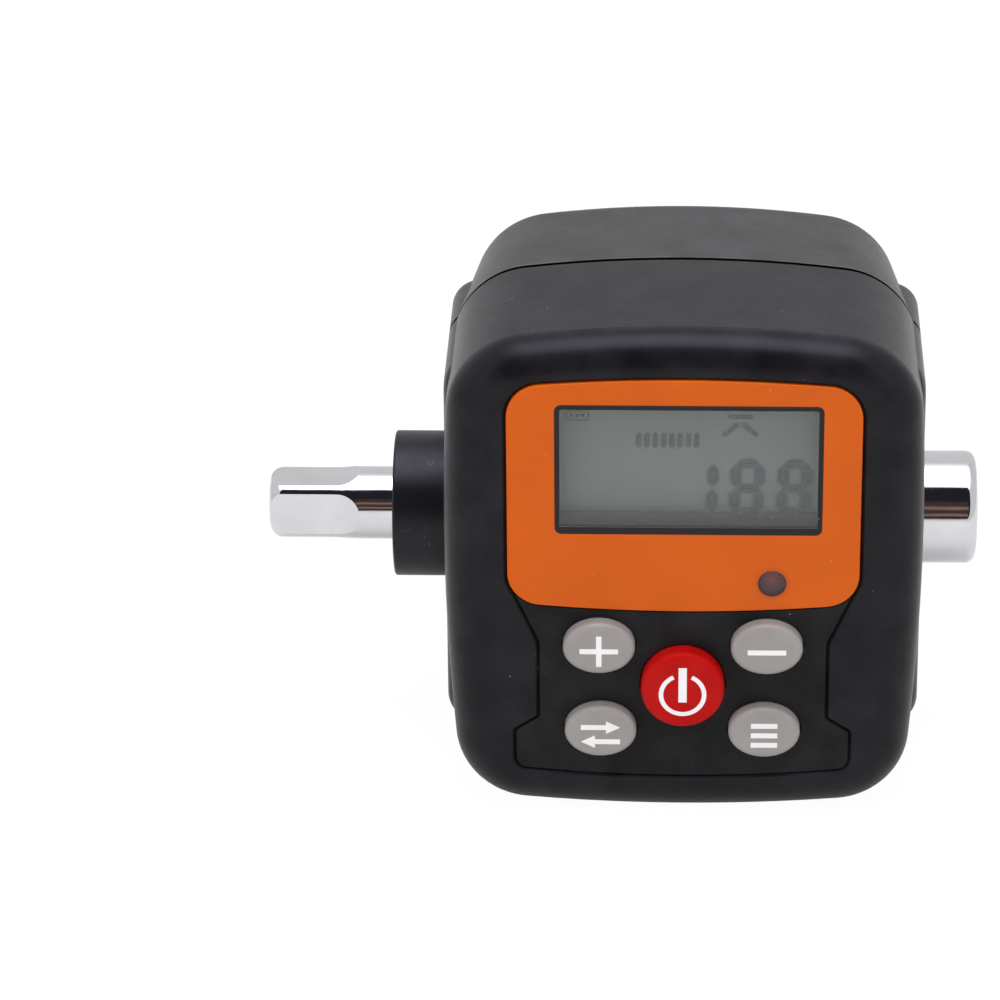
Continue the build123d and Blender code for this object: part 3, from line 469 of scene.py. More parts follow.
@dataclass(frozen=True)
class DisplayGlass(Finish):
    """Reflective liquid crystal cell: grey-green, darker along its shaded lower edge."""

    band_low: float
    band_high: float
    dark_line_z: float
    colour: Colour = (0.146, 0.168, 0.154)
    shade: Colour = (0.045, 0.022, 0.029)
    # A thin darker line across the painted shade.
    dark_line_tint: Colour = (0.022, 0.018, 0.02)
    dark_line_w: float = 0.45 * MM
    cloud: float = 22 * MM
    pixel: float = 0.25 * MM

    def paint(self, sheet: Sheet) -> None:
        """A soft ramp in height paints shade over the foot, with a thin darker line across it; a fine
        weave reflects.
        """
        _, _, z = sheet.axes()
        foot = z.ramp(self.band_high, self.band_low)
        cloud = sheet.noise(self.cloud, 1.0).ramp(0.3, 0.7)
        pixel = sheet.noise(self.pixel, 2.0)
        body = sheet.mix(cloud, self.colour, shaded(self.colour, 0.94))
        # Painted shade along the cell's foot, with a thin darker line across it.
        dark_line = abs(z - self.dark_line_z).ramp(self.dark_line_w, 0.1 * MM)
        body = sheet.mix(foot * 0.95, body, self.shade)
        body = sheet.mix(dark_line * 0.5, body, self.dark_line_tint)
        sheet.surface(
            Base_Color=body,
            Roughness=0.5 + (pixel - 0.5) * 0.2,
            Specular_IOR_Level=0.2,
            Normal=sheet.bump(pixel, 0.005 * MM, 0.3),
        )


@dataclass(frozen=True)
class DisplayInk(Finish):
    """Switched segments of the display, a translucent slate that fades at its edges."""

    colour: Colour
    strength: float
    mottle: float = 0.8 * MM

    def paint(self, sheet: Sheet) -> None:
        """The mesh's own ink attribute fades the rim, and fine noise makes the film uneven."""
        uneven = sheet.noise(self.mottle, 3.0)
        rim = sheet.node("ShaderNodeAttribute", {"attribute_name": INK_ATTRIBUTE})
        film = Value(sheet, rim.outputs["Fac"])
        sheet.surface(
            Base_Color=sheet.mix(uneven, self.colour, shaded(self.colour, 1.25)),
            Roughness=0.55,
            Specular_IOR_Level=0.1,
            Alpha=film * (self.strength + (uneven - 0.5) * 0.2),
        )


@dataclass(frozen=True)
class Metal(Finish):
    """Metal with fine machining marks along one way and slight smudges."""

    colour: Colour
    roughness: float
    marks: Triple = (1.0, 1.0, 1.0)
    mark_size: float = 0.4 * MM
    mark_depth: float = 0.004 * MM
    smudge: float = 0.08
    metallic: float = 1.0
    gloss: float = 0.5
    ripple: float = 0.0
    scratch: float = 0.0
    scratch_tint: Colour = (0.42, 0.42, 0.45)
    scratch_wander: float = 6 * MM
    scratch_length: float = 2.6 * MM
    swell: float = 2.4 * MM
    smear: float = 7 * MM
    pit_pitch: float = 2.4 * MM

    def paint(self, sheet: Sheet) -> None:
        """Stretched noise is the tool's marks, and broad noise the handling smudges.

        A plated face ripples softly. A scratch is the thin line along which a broad noise passes
        through its middle value, and it shows only where a second noise is high.
        """
        tool = sheet.noise(self.mark_size, 3.0, self.marks)
        hand = sheet.noise(self.smear, 3.0).ramp(0.4, 0.75)
        pit = sheet.cells(self.pit_pitch).ramp(0.06, 0.03)
        tint = sheet.mix(hand * 0.6 + pit * 0.2, self.colour, shaded(self.colour, 0.86))
        path = abs(sheet.noise(self.scratch_wander, 1.0, (1.0, 0.35, 0.35)) - 0.5)
        shown = sheet.noise(self.scratch_length, 2.0).ramp(0.56, 0.62)
        line_mark = path.ramp(0.004, 0.001) * shown * self.scratch
        tint = sheet.mix(line_mark, tint, self.scratch_tint)
        swell = sheet.noise(self.swell, 1.0, (0.5, 1.0, 1.0)) * self.ripple
        sheet.surface(
            Base_Color=tint,
            Metallic=self.metallic,
            Specular_IOR_Level=self.gloss,
            Roughness=self.roughness + hand * self.smudge + (tool - 0.5) * 0.06,
            Normal=sheet.bump(tool + swell, self.mark_depth),
        )


@dataclass(frozen=True)
class Rubber(Finish):
    """Matt silicone or cable insulation with a dry bloom."""

    colour: Colour
    bloom_tint: Colour = (0.3, 0.3, 0.3)
    bloom: float = 4 * MM
    skin: float = 0.3 * MM

    def paint(self, sheet: Sheet) -> None:
        """Broad noise is the bloom and fine noise the skin."""
        bloom = sheet.noise(self.bloom, 3.0).ramp(0.35, 0.7)
        skin = sheet.noise(self.skin, 2.0)
        sheet.surface(
            Base_Color=sheet.mix(bloom * 0.3, self.colour, self.bloom_tint),
            Roughness=0.7 + skin * 0.15,
            Normal=sheet.bump(skin, 0.02 * MM),
        )


@dataclass(frozen=True)
class CircuitBoard(Finish):
    """Solder mask over copper tracks, with tinned pads at the cells of a grid."""

    mask: Colour = (0.012, 0.11, 0.045)
    track: Colour = (0.03, 0.2, 0.08)
    tin: Colour = (0.55, 0.55, 0.52)
    row_pitch: float = 1.9 * MM
    column_pitch: float = 2.3 * MM
    pad_pitch: float = 3.6 * MM
    bend_size: float = 12 * MM
    zone_size: float = 17 * MM

    def paint(self, sheet: Sheet) -> None:
        """Sine waves across X and Z, bent by noise, are the tracks; cell centres are pads."""
        x, _, z = sheet.axes()
        bend = sheet.noise(self.bend_size, 1.0) * 30.0
        rows = (z * (math.tau / self.row_pitch) + bend).wave().above(0.72)
        columns = (x * (math.tau / self.column_pitch) + bend).wave().above(0.8)
        zone = sheet.noise(self.zone_size, 0.0).above(0.5)
        tracks = rows * zone + columns * (1.0 - zone)
        pads = sheet.cells(self.pad_pitch).ramp(0.19, 0.16)
        colour = sheet.mix(tracks, self.mask, self.track)
        colour = sheet.mix(pads, colour, self.tin)
        sheet.surface(
            Base_Color=colour,
            Metallic=pads * 0.9,
            Roughness=0.34 - pads * 0.1,
            Normal=sheet.bump(tracks + pads * 1.5, 0.03 * MM),
        )


@dataclass(frozen=True)
class LampResin(Finish):
    """Tinted resin of the alarm lamp, unlit, with the die's pale reflector near its middle and a
    painted highlight round it.
    """

    centre: Spot
    colour: Colour = (0.36, 0.25, 0.25)
    # A painted highlight: brighter red round a pale middle, which is also the die's reflector.
    highlight_tint: Colour = (0.85, 0.2, 0.2)
    cup_and_highlight_tint: Colour = (1.0, 0.75, 0.75)
    cup_rise: float = 1.0 * MM
    halo_reach: Spot = (2.2 * MM, 0.6 * MM)
    cup_reach: Spot = (0.9 * MM, 0.3 * MM)

    def paint(self, sheet: Sheet) -> None:
        """Distance from a point above the lamp's axis gives the pale spot: the die's reflector with a
        painted highlight.
        """
        x, _, z = sheet.axes()
        # Painted highlight: brighter red and a pale spot above the axis; the pale middle is also the
        # die's reflector.
        away = (x - self.centre[0]).reach(z - self.centre[1] - self.cup_rise)
        halo = away.ramp(*self.halo_reach)
        cup_and_highlight = away.ramp(*self.cup_reach)
        resin = sheet.mix(halo, self.colour, self.highlight_tint)
        sheet.surface(
            Base_Color=sheet.mix(cup_and_highlight * 0.8, resin, self.cup_and_highlight_tint),
            Roughness=0.4 + sheet.noise(1 * MM) * 0.1,
        )


@dataclass(frozen=True)
class CellSleeve(Finish):
    """Printed film of a round cell: dark can with one lighter band and steel ends."""

    can: Spot
    body: Colour = (0.02, 0.03, 0.06)
    band: Colour = (0.5, 0.33, 0.08)
    steel: Colour = (0.6, 0.6, 0.58)
    band_ends: Spot = (0.66, 0.86)
    bare_share: float = 0.03

    def paint(self, sheet: Sheet) -> None:
        """Steps along X place the band and the bare steel ends."""
        x, _, _ = sheet.axes()
        start, end = self.can
        length = end - start
        first, last = (start + share * length for share in self.band_ends)
        band = x.above(first) * (1.0 - x.above(last))
        tip = self.bare_share * length
        bare = 1.0 - x.above(start + tip) * (1.0 - x.above(end - tip))
        film = sheet.mix(band, self.body, self.band)
        ripple = sheet.noise(2 * MM, 3.0)
        sheet.surface(
            Base_Color=sheet.mix(bare, film, self.steel),
            Metallic=bare,
            Roughness=0.3 + ripple * 0.1,
            Normal=sheet.bump(ripple, 0.02 * MM, 0.4),
        )


@dataclass(frozen=True)
class GaugeFilm(Finish):
    """Amber film with the folded foil grid of a strain gauge."""

    middle: Spot
    film: Colour = (0.42, 0.2, 0.03)
    foil: Colour = (0.6, 0.55, 0.45)
    strand_pitch: float = 0.5 * MM
    active_half: Spot = (3 * MM, 2.4 * MM)

    def paint(self, sheet: Sheet) -> None:
        """A sine across the shaft gives the grid's strands inside its active area."""
        x, _, z = sheet.axes()
        off_x = abs(x - self.middle[0])
        off_z = abs(z - self.middle[1])
        strands = (off_z * (math.tau / self.strand_pitch)).wave().above(0.1)
        half_x, half_z = self.active_half
        active = (1.0 - off_x.above(half_x)) * (1.0 - off_z.above(half_z))
        grid = strands * active
        sheet.surface(
            Base_Color=sheet.mix(grid, self.film, self.foil),
            Metallic=grid,
            Roughness=0.35 + sheet.noise(0.5 * MM) * 0.1,
        )


@dataclass(frozen=True)
class Table(Finish):
    """White table: matt, and lifted to white where the camera or a gloss looks at it."""

    colour: Colour = (0.86, 0.86, 0.86)
    lift: float = 0.94
    mirrored_lift: float = 0.25
    glow: float = 1.03

    def paint(self, sheet: Sheet) -> None:
        """Mixes white glow into the matt white for what looks at the table."""
        looked = sheet.ray("Camera").largest(sheet.ray("Transmission")) * self.lift
        looked = looked.largest(sheet.ray("Glossy") * self.mirrored_lift)
        matt = sheet.node("ShaderNodeBsdfDiffuse", inputs={"Color": self.colour})
        glow = sheet.node("ShaderNodeEmission", inputs={"Color": WHITE, "Strength": self.glow})
        both = sheet.join(looked, matt, glow)
        sheet.node("ShaderNodeOutputMaterial", inputs={"Surface": both.outputs[0]})


PANEL = MouldedPlastic("panel_plastic", (0.008, 0.0072, 0.0084), roughness=0.5, gloss=0.15,
                       depth=0.05 * MM)
BEZEL = MouldedPlastic("bezel_plastic", (0.012, 0.012, 0.013), roughness=0.5)
KEY_GREY = MouldedPlastic("key_grey", (0.3, 0.281, 0.27), roughness=0.38, gloss=0.45, grain=0.3 * MM,
                          depth=0.012 * MM, mottle=0.04, dust=0.3)
KEY_RED = MouldedPlastic("key_red", (0.46, 0.004, 0.003), roughness=0.36, gloss=0.07, grain=0.3 * MM,
                         depth=0.012 * MM, mottle=0.06, dust=0.3)
PRINT_WHITE = MouldedPlastic("legend_ink", (0.88, 0.86, 0.87), roughness=0.5, depth=0.004 * MM,
                             mottle=0.03, dust=0.0)
PRINT_ORANGE = MouldedPlastic("window_ink", ORANGE, roughness=0.35, depth=0.004 * MM, mottle=0.05,
                              dust=0.0)
SEGMENT_INK = DisplayInk("segment_ink", (0.05, 0.05, 0.072), 0.9)
SIGN_INK = DisplayInk("sign_ink", (0.062, 0.064, 0.078), 0.8)
CHIP = MouldedPlastic("chip_epoxy", (0.015, 0.015, 0.016), roughness=0.6, depth=0.02 * MM)
PLUG = MouldedPlastic("plug_nylon", (0.62, 0.6, 0.54), roughness=0.45, mottle=0.05)
CHROME = Metal("chrome_plate", (0.68, 0.675, 0.695), 0.05, (1.0, 0.2, 0.2), mark_depth=0.003 * MM,
               smudge=0.05, ripple=5.0, scratch=0.35)
STEEL = Metal("hardened_steel", (0.55, 0.55, 0.56), 0.2, mark_size=0.2 * MM)
ZINC = Metal("zinc_screw", (0.6, 0.6, 0.58), 0.32, mark_size=0.5 * MM, smudge=0.12)
BLACKENED = Metal("blackened_steel", (0.0085, 0.008, 0.011), 0.38, (1.0, 0.15, 0.15),
                  mark_depth=0.008 * MM, metallic=0.5, gloss=0.55, scratch=0.12)
BRONZE = Metal("sintered_bronze", (0.5, 0.32, 0.15), 0.4, mark_size=0.35 * MM, mark_depth=0.02 * MM)
NICKEL = Metal("nickel_strip", (0.66, 0.62, 0.55), 0.25, (1.0, 1.0, 3.0))
SILICONE = Rubber("key_silicone", (0.16, 0.16, 0.17))
INSULATION = Rubber("lead_insulation", (0.02, 0.02, 0.02))
TABLE = Table("studio_table")


def add_mesh(
    name: str, points: np.ndarray, faces: list, finish: Finish, body: str | None = None
) -> bpy.types.Object:
    """Makes a mesh object at the origin from arrays.

    Args:
        name: The piece's name.
        points: Corners, one row each, in metres.
        faces: Corner numbers of each face.
        finish: The piece's finish.
        body: The body that the piece rides on, if it belongs to the object.

    Returns:
        The object.
    """
    mesh = bpy.data.meshes.new(name)
    mesh.from_pydata(points.tolist(), [], faces)
    mesh.update()
    made = bpy.data.objects.new(name, mesh)
    bpy.context.scene.collection.objects.link(made)
    mesh.materials.append(finish.material())
    if body:
        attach(made, body)
    return made


@dataclass
class PrintLayer:
    """Flat marks of one ink that lie on a face which looks along -Y."""

    face_y: float
    finish: Finish
    body: str
    thickness: float = 0.03 * MM

    def stroke(self, name: str, path: np.ndarray, width: float) -> None:
        """A band of even width along a path: each point is moved half a width to both sides.

        A point's way is the mean of the steps before and after it. In a bend the band is
        widened by 1 over the cosine of half the turn, so that its edges stay parallel. Its four
        edges give the corners in the order [path point, edge], and each step has four walls.

        Args:
            name: The mark's name.
            path: Points as rows of X and Z, in metres.
            width: The band's width.
        """
        steps = np.diff(path, axis=0)
        steps = steps / np.linalg.norm(steps, axis=1, keepdims=True)
        ahead = np.vstack([steps, steps[-1:]])
        along = ahead + np.vstack([steps[:1], steps])
        along = along / np.linalg.norm(along, axis=1, keepdims=True)
        turn = np.sum(along * ahead, axis=1, keepdims=True)
        side = np.stack([-along[:, 1], along[:, 0]], -1) * width / 2 / turn
        front, back = self.face_y - self.thickness, self.face_y
        edges = ((path + side, front), (path - side, front), (path - side, back), (path + side, back))
        corners = np.stack([np.insert(points, 1, y, axis=1) for points, y in edges], 1)
        here = np.arange(len(path) - 1)[:, None] * 4
        edge = np.arange(4)
        beside = (edge + 1) % 4
        walls = np.stack([here + edge, here + 4 + edge, here + 4 + beside, here + beside], -1)
        faces = np.vstack([walls.reshape(-1, 4), edge, edge[::-1] + here[-1] + 4])
        add_mesh(name, corners.reshape(-1, 3), faces.tolist(), self.finish, self.body)

    def patch(self, name: str, outline: np.ndarray) -> None:
        """A flat filled mark: its outline in front, the same outline behind, and walls between.

        Args:
            name: The mark's name.
            outline: Corners as rows of X and Z, anticlockwise as seen from the front.
        """
        count = len(outline)
        front = np.insert(outline, 1, self.face_y - self.thickness, axis=1)
        back = np.insert(outline, 1, self.face_y, axis=1)
        here = np.arange(count)
        ahead = (here + 1) % count
        walls = np.stack([ahead, here, here + count, ahead + count], -1).tolist()
        faces = [here.tolist(), (here[::-1] + count).tolist(), *walls]
        add_mesh(name, np.vstack([front, back]), faces, self.finish, self.body)


@dataclass
class SegmentLayer:
    """Soft-edged segments of a liquid crystal cell, gathered sign by sign."""

    face_y: float
    finish: Finish
    soft: float
    body: str = "housing"
    rise: float = 0.02 * MM
    rows: int = 11
    bars: list = field(default_factory=list)

    def bar(self, start: Spot, end: Spot, width: float) -> None:
        """Adds one bar with mitred ends, as a pillow on a grid of two parameters.

        The first parameter runs from -1 to 1 along the bar and the second across it. Both are
        spaced by a sine, closer at the rim. The half length shrinks by the distance from the
        middle line, which mitres the ends. The ink grows from 0 at the rim to 1 over the soft
        width, and lifts the face by the rise.

        Args:
            start: X and Z of one end's point.
            end: X and Z of the other end's point.
            width: The bar's width.
        """
        ends = np.array([start, end], float)
        length = np.linalg.norm(ends[1] - ends[0])
        along = (ends[1] - ends[0]) / length
        across = np.array([-along[1], along[0]])
        spaced = np.sin(np.linspace(-np.pi / 2, np.pi / 2, self.rows))
        first, second = np.meshgrid(spaced, spaced, indexing="ij")
        half = length / 2 - np.abs(second) * width / 2
        to_side = (1 - np.abs(second)) * width / 2
        to_end = (1 - np.abs(first)) * half / math.sqrt(2)
        ink = np.clip(np.minimum(to_side, to_end) / self.soft, 0, 1)
        flat = (ends[0] + ends[1]) / 2 + (first * half)[..., None] * along
        flat = flat + (second * width / 2)[..., None] * across
        points = np.stack([flat[..., 0], self.face_y - ink * self.rise, flat[..., 1]], -1)
        self.bars.append((points.reshape(-1, 3), ink.reshape(-1)))

    def make(self, name: str) -> None:
        """Joins the bars added since the last sign into one closed mesh with its ink attribute.

        Args:
            name: The sign's name.
        """
        rows = self.rows
        number = np.arange(rows * rows).reshape(rows, rows)
        quads = np.stack([number[:-1, :-1], number[1:, :-1], number[1:, 1:], number[:-1, 1:]], -1)
        rim = np.concatenate([number[0, :-1], number[:-1, -1], number[-1, :0:-1], number[:0:-1, 0]])
        faces = []
        for place in range(len(self.bars)):
            shift = place * rows * rows
            faces += (quads.reshape(-1, 4) + shift).tolist()
            faces.append((rim + shift).tolist())
        points = np.vstack([bar[0] for bar in self.bars])
        made = add_mesh(name, points, faces, self.finish, self.body)
        ink = made.data.attributes.new(INK_ATTRIBUTE, "FLOAT", "POINT")
        ink.data.foreach_set("value", np.concatenate([bar[1] for bar in self.bars]))
        self.bars = []


def line(*corners: Spot) -> np.ndarray:
    """Rows of X and Z from corners."""
    return np.array(corners, float)


def middle_of(node: str) -> Vector:
    """The middle of a CAD node's box."""
    low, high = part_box(node)
    return (Vector(low) + Vector(high)) / 2


class Assembly(ABC):
    """Nodes of the frame that belong together, with their finishes and printed marks."""

    @abstractmethod
    def finishes(self) -> dict[str, Finish]:
        """The finish of each CAD node, by the node's name."""

    def add_marks(self) -> None:
        """Adds the marks printed on the nodes, where there are any."""

    def dress(self, frame: dict) -> None:
        """Gives every slot of each node its finish, then adds the marks.

        Args:
            frame: The loaded frame.
        """
        for node, finish in self.finishes().items():
            shown = frame["nodes"][node]
            if not shown.material_slots:
                shown.data.materials.append(finish.material())
            for slot in shown.material_slots:
                slot.material = finish.material()
            LOG.info("%s: %s", node, finish.name)
        self.add_marks()


@dataclass
class Housing(Assembly):
    """The two shells, the face panel, the battery door and their screws."""

    front_tint: Colour = (0.0058, 0.005, 0.0074)
    rear_tint: Colour = (0.0215, 0.0198, 0.0205)
    rear_streak: Colour = (0.036, 0.03, 0.027)

    def finishes(self) -> dict[str, Finish]:
        """One plastic for each shell, with the groove of the seam at the shaft's middle."""
        seam_y = middle_of("torque_shaft").y
        front = MouldedPlastic("front_plastic", self.front_tint, gloss=0.07, haze=0.03, skin=0.5,
                               seam_y=seam_y)
        rear = MouldedPlastic("rear_plastic", self.rear_tint, roughness=0.58, gloss=0.35, haze=0.05,
                              skin=0.35, depth=0.06 * MM, streak=self.rear_streak, seam_y=seam_y)
        return {
            "front_shell": front,
            "face_panel": PANEL,
            "rear_shell": rear,
            "battery_door": rear,
            **dict.fromkeys(("case_screws", "board_screws", "battery_door_screws"), ZINC),
        }


@dataclass
class Drive(Assembly):
    """The shaft with its square ends, the detent, the collar and the bushes."""

    def finishes(self) -> dict[str, Finish]:
        """Plated shaft, blackened collar, hardened small parts and sintered bushes."""
        middle = middle_of("strain_gauges")
        return {
            **dict.fromkeys(("detent_ball", "detent_spring", "locating_pin"), STEEL),
            **dict.fromkeys(("left_bush", "right_bush"), BRONZE),
            "torque_shaft": CHROME,
            "collar_ring": BLACKENED,
            "collar_grub_screw": ZINC,
            "strain_gauges": GaugeFilm("gauge_film", (middle.x, middle.z)),
        }


@dataclass
class Display(Assembly):
    """The lens with its print, the display cell with its marks, and the alarm lamp.

    Places on the cell are measured from the lens's middle in X and the window's in Z. The
    shades are the foot and the head of the band of painted shade, and its darker line.
    """

    window_w: float = 56.8 * MM
    window_from_low: float = 19.0 * MM
    window_from_high: float = 6.1 * MM
    shades: Triple = (-14.2 * MM, -10.7 * MM, -12.9 * MM)
    digit_low: float = -14.4 * MM
    digit_h: float = 14.8 * MM
    digit_w: float = 8.2 * MM
    digit_ends: Spot = (17.4 * MM, 27.6 * MM)
    one_x: float = 7.4 * MM
    bar: float = 3.1 * MM
    flat_share: float = 0.86
    gap: float = -0.15 * MM
    lean: float = 0.035
    digit_soft: float = 1.1 * MM
    sign_soft: float = 0.4 * MM
    point: Spot = (18.2 * MM, -13.9 * MM)
    point_size: Spot = (1.5 * MM, 1.2 * MM)
    cell_foot: Spot = (-25.4 * MM, 8.9 * MM)
    cell_size: Spot = (4.8 * MM, 2.2 * MM)
    cell_line: float = 0.5 * MM
    charge_pitch: float = 1.2 * MM
    charge_w: float = 0.9 * MM
    charge_gap: float = 0.4 * MM
    level_foot: Spot = (-9.9 * MM, 2.2 * MM)
    level_size: Spot = (1.5 * MM, 4.2 * MM)
    level_pitch: float = 1.78 * MM
    level_lean: float = 0.15 * MM
    level_count: int = 8
    peak_foot: Spot = (12.0 * MM, 5.2 * MM)
    peak_size: Spot = (4.0 * MM, 3.4 * MM)
    peak_cap: Spot = (3.0 * MM, 4.7 * MM)
    peak_lines: Spot = (1.5 * MM, 1.3 * MM)

    def window(self) -> Edges:
        """Left, right, foot and head of the window, centred on the display cell."""
        low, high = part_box("display_lens")
        middle_x = middle_of("lcd_glass").x
        left, right = middle_x - self.window_w / 2, middle_x + self.window_w / 2
        return left, right, low[2] + self.window_from_low, high[2] - self.window_from_high

    def on_cell(self, place: Spot) -> Spot:
        """X and Z of a place on the cell."""
        _, _, low, high = self.window()
        return middle_of("display_lens").x + place[0], (low + high) / 2 + place[1]

    def finishes(self) -> dict[str, Finish]:
        """Lens, cell and lamp take their patterns' places from the frame."""
        lamp = middle_of("alarm_led")
        shades = (self.on_cell((0.0, height))[1] for height in self.shades)
        return {
            "display_lens": ClearLens("lens_acrylic", self.window(), (lamp.x, lamp.z)),
            "lens_print": PRINT_ORANGE,
            "lcd_glass": DisplayGlass("display_cell", *shades),
            "lcd_frame": BEZEL,
            "zebra_strips": INSULATION,
            "alarm_led": LampResin("lamp_resin", (lamp.x, lamp.z)),
        }

    def add_marks(self) -> None:
        """Lays the switched segments and signs on the display cell."""
        face_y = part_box("lcd_glass")[0][1]
        ink = SegmentLayer(face_y, SEGMENT_INK, self.digit_soft)
        faint = SegmentLayer(face_y, SIGN_INK, self.sign_soft)
        for number, right in enumerate(self.digit_ends):
            self._eight(ink, self.on_cell((right - self.digit_w, self.digit_low)))
            ink.make(f"digit_{number}")
        self._upright(ink, -self.bar / 2, self.on_cell((self.one_x, self.digit_low)))
        ink.make("digit_lead")
        x, z = self.on_cell(self.point)
        faint.bar((x, z), (x + self.point_size[0], z), self.point_size[1])
        faint.make("digit_point")
        self._cell_sign(faint)
        self._level_sign(faint)
        self._peak_sign(faint)

    def _slanted(self, origin: Spot, corner: Spot) -> Spot:
        """A digit's own point, leaned by its height and moved to its place."""
        return origin[0] + corner[0] + corner[1] * self.lean, origin[1] + corner[1]

    def _eight(self, ink: SegmentLayer, origin: Spot) -> None:
        """Seven bars of one digit: three level and four upright, with small gaps between.

        Args:
            ink: The layer the bars lie on.
            origin: The digit's lower left corner.
        """
        half = self.bar / 2
        near = half + self.gap
        for height in (half, self.digit_h / 2, self.digit_h - half):
            start = self._slanted(origin, (near, height))
            end = self._slanted(origin, (self.digit_w - near, height))
            ink.bar(start, end, self.bar * self.flat_share)
        for side in (half, self.digit_w - half):
            self._upright(ink, side, origin)

    def _upright(self, ink: SegmentLayer, side: float, origin: Spot) -> None:
        """The two bars of one side, over each other.

        Args:
            ink: The layer the bars lie on.
            side: The bars' place across the digit.
            origin: The digit's lower left corner.
        """
        levels = (self.bar / 2, self.digit_h / 2, self.digit_h - self.bar / 2)
        for foot, head in zip(levels, levels[1:]):
            start = self._slanted(origin, (side, foot + self.gap))
            end = self._slanted(origin, (side, head - self.gap))
            ink.bar(start, end, self.bar)

    def _cell_sign(self, ink: SegmentLayer) -> None:
        """A cell's outline with three charge bars.

        Args:
            ink: The layer the sign lies on.
        """
        left, foot = self.on_cell(self.cell_foot)
        right, head = left + self.cell_size[0], foot + self.cell_size[1]
        corners = ((left, foot), (right, foot), (right, head), (left, head))
        for here, ahead in zip(corners, corners[1:] + corners[:1]):
            ink.bar(here, ahead, self.cell_line)
        for number in (1, 2, 3):
            x = left + number * self.charge_pitch
            ink.bar((x, foot + self.charge_gap), (x, head - self.charge_gap), self.charge_w)
        ink.make("sign_cell")

    def _level_sign(self, ink: SegmentLayer) -> None:
        """A row of level blocks, each leaned a little.

        Args:
            ink: The layer the sign lies on.
        """
        left, foot = self.on_cell(self.level_foot)
        width, height = self.level_size
        for number in range(self.level_count):
            x = left + number * self.level_pitch
            ink.bar((x, foot), (x + self.level_lean, foot + height), width)
        ink.make("sign_level")

    def _peak_sign(self, ink: SegmentLayer) -> None:
        """A chevron under a bar, for the highest value.

        Args:
            ink: The layer the sign lies on.
        """
        middle, foot = self.on_cell(self.peak_foot)
        half, rise = self.peak_size
        for side in (-1, 1):
            ink.bar((middle + side * half, foot), (middle, foot + rise), self.peak_lines[0])
        half, rise = self.peak_cap
        ink.bar((middle - half, foot + rise), (middle + half, foot + rise), self.peak_lines[1])
        ink.make("sign_peak")


@dataclass
class Keypad(Assembly):
    """The five keys with their white legends, and the silicone mat behind them."""

    stroke: float = 1.2 * MM
    sign_drop: float = 0.45 * MM
    plus_w: float = 8.4 * MM
    plus_h: float = 7.4 * MM
    power_r: float = 4.7 * MM
    power_stroke: float = 0.98 * MM
    power_drop: float = 0.75 * MM
    power_gap: float = 25.0
    power_points: int = 72
    power_bar: float = 1.8 * MM
    power_top: float = 5.8 * MM
    power_foot: float = -2.6 * MM
    arrow_half: float = 4.3 * MM
    arrow_apart: float = 1.75 * MM
    arrow_head: float = 1.55 * MM
    list_half: float = 2.9 * MM
    list_apart: float = 2.35 * MM

    def finishes(self) -> dict[str, Finish]:
        """Four grey keys round a red one, over the mat."""
        grey = dict.fromkeys(("plus_key", "minus_key", "unit_key", "mode_key"), KEY_GREY)
        return {**grey, "power_key": KEY_RED, "keypad_mat": SILICONE}

    def add_marks(self) -> None:
        """Prints the legends."""
        self._plus_minus()
        self._power()
        self._swap_sign()
        self._list_sign()

    def _layer(self, key: str) -> tuple[PrintLayer, float, float]:
        """The ink layer on a key's face, with the X and Z of its legend's middle."""
        low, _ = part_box(key)
        middle = middle_of(key)
        return PrintLayer(low[1], PRINT_WHITE, key), middle.x, middle.z - self.sign_drop

    def _plus_minus(self) -> None:
        """A cross on the plus key and a bar on the minus key."""
        for key in ("plus_key", "minus_key"):
            layer, x, z = self._layer(key)
            ends = line((x - self.plus_w / 2, z), (x + self.plus_w / 2, z))
            layer.stroke(f"{key}_bar", ends, self.stroke)
        layer, x, z = self._layer("plus_key")
        gap = self.stroke / 2
        layer.stroke("plus_key_upper", line((x, z + gap), (x, z + self.plus_h / 2)), self.stroke)
        layer.stroke("plus_key_lower", line((x, z - self.plus_h / 2), (x, z - gap)), self.stroke)

    def _power(self) -> None:
        """A power sign: a ring swept evenly from one side of its gap to the other, and a bar."""
        layer, x, z = self._layer("power_key")
        z = z + self.sign_drop
        sweep = np.radians(np.linspace(90 + self.power_gap, 450 - self.power_gap, self.power_points))
        ring = np.stack([np.cos(sweep), np.sin(sweep)], -1) * self.power_r + (x, z - self.power_drop)
        layer.stroke("power_key_ring", ring, self.power_stroke)
        upright = line((x, z + self.power_foot), (x, z + self.power_top))
        layer.stroke("power_key_bar", upright, self.power_bar)

    def _swap_sign(self) -> None:
        """Two opposed arrows on the unit key, for changing the unit."""
        layer, x, z = self._layer("unit_key")
        for name, side in (("upper", 1), ("lower", -1)):
            level = z + side * self.arrow_apart
            neck = x + side * (self.arrow_half - 2 * self.arrow_head)
            shaft = line((x - side * self.arrow_half, level), (neck, level))
            layer.stroke(f"unit_key_{name}_shaft", shaft, self.stroke)
            tip = (x + side * self.arrow_half, level)
            base = [(neck, level - side * self.arrow_head), tip, (neck, level + side * self.arrow_head)]
            layer.patch(f"unit_key_{name}_head", line(*base))

    def _list_sign(self) -> None:
        """Three level bars on the mode key, for stepping through the modes."""
        layer, x, z = self._layer("mode_key")
        for number in (-1, 0, 1):
            level = z + number * self.list_apart
            ends = line((x - self.list_half, level), (x + self.list_half, level))
            layer.stroke(f"mode_key_bar_{number + 1}", ends, self.stroke)


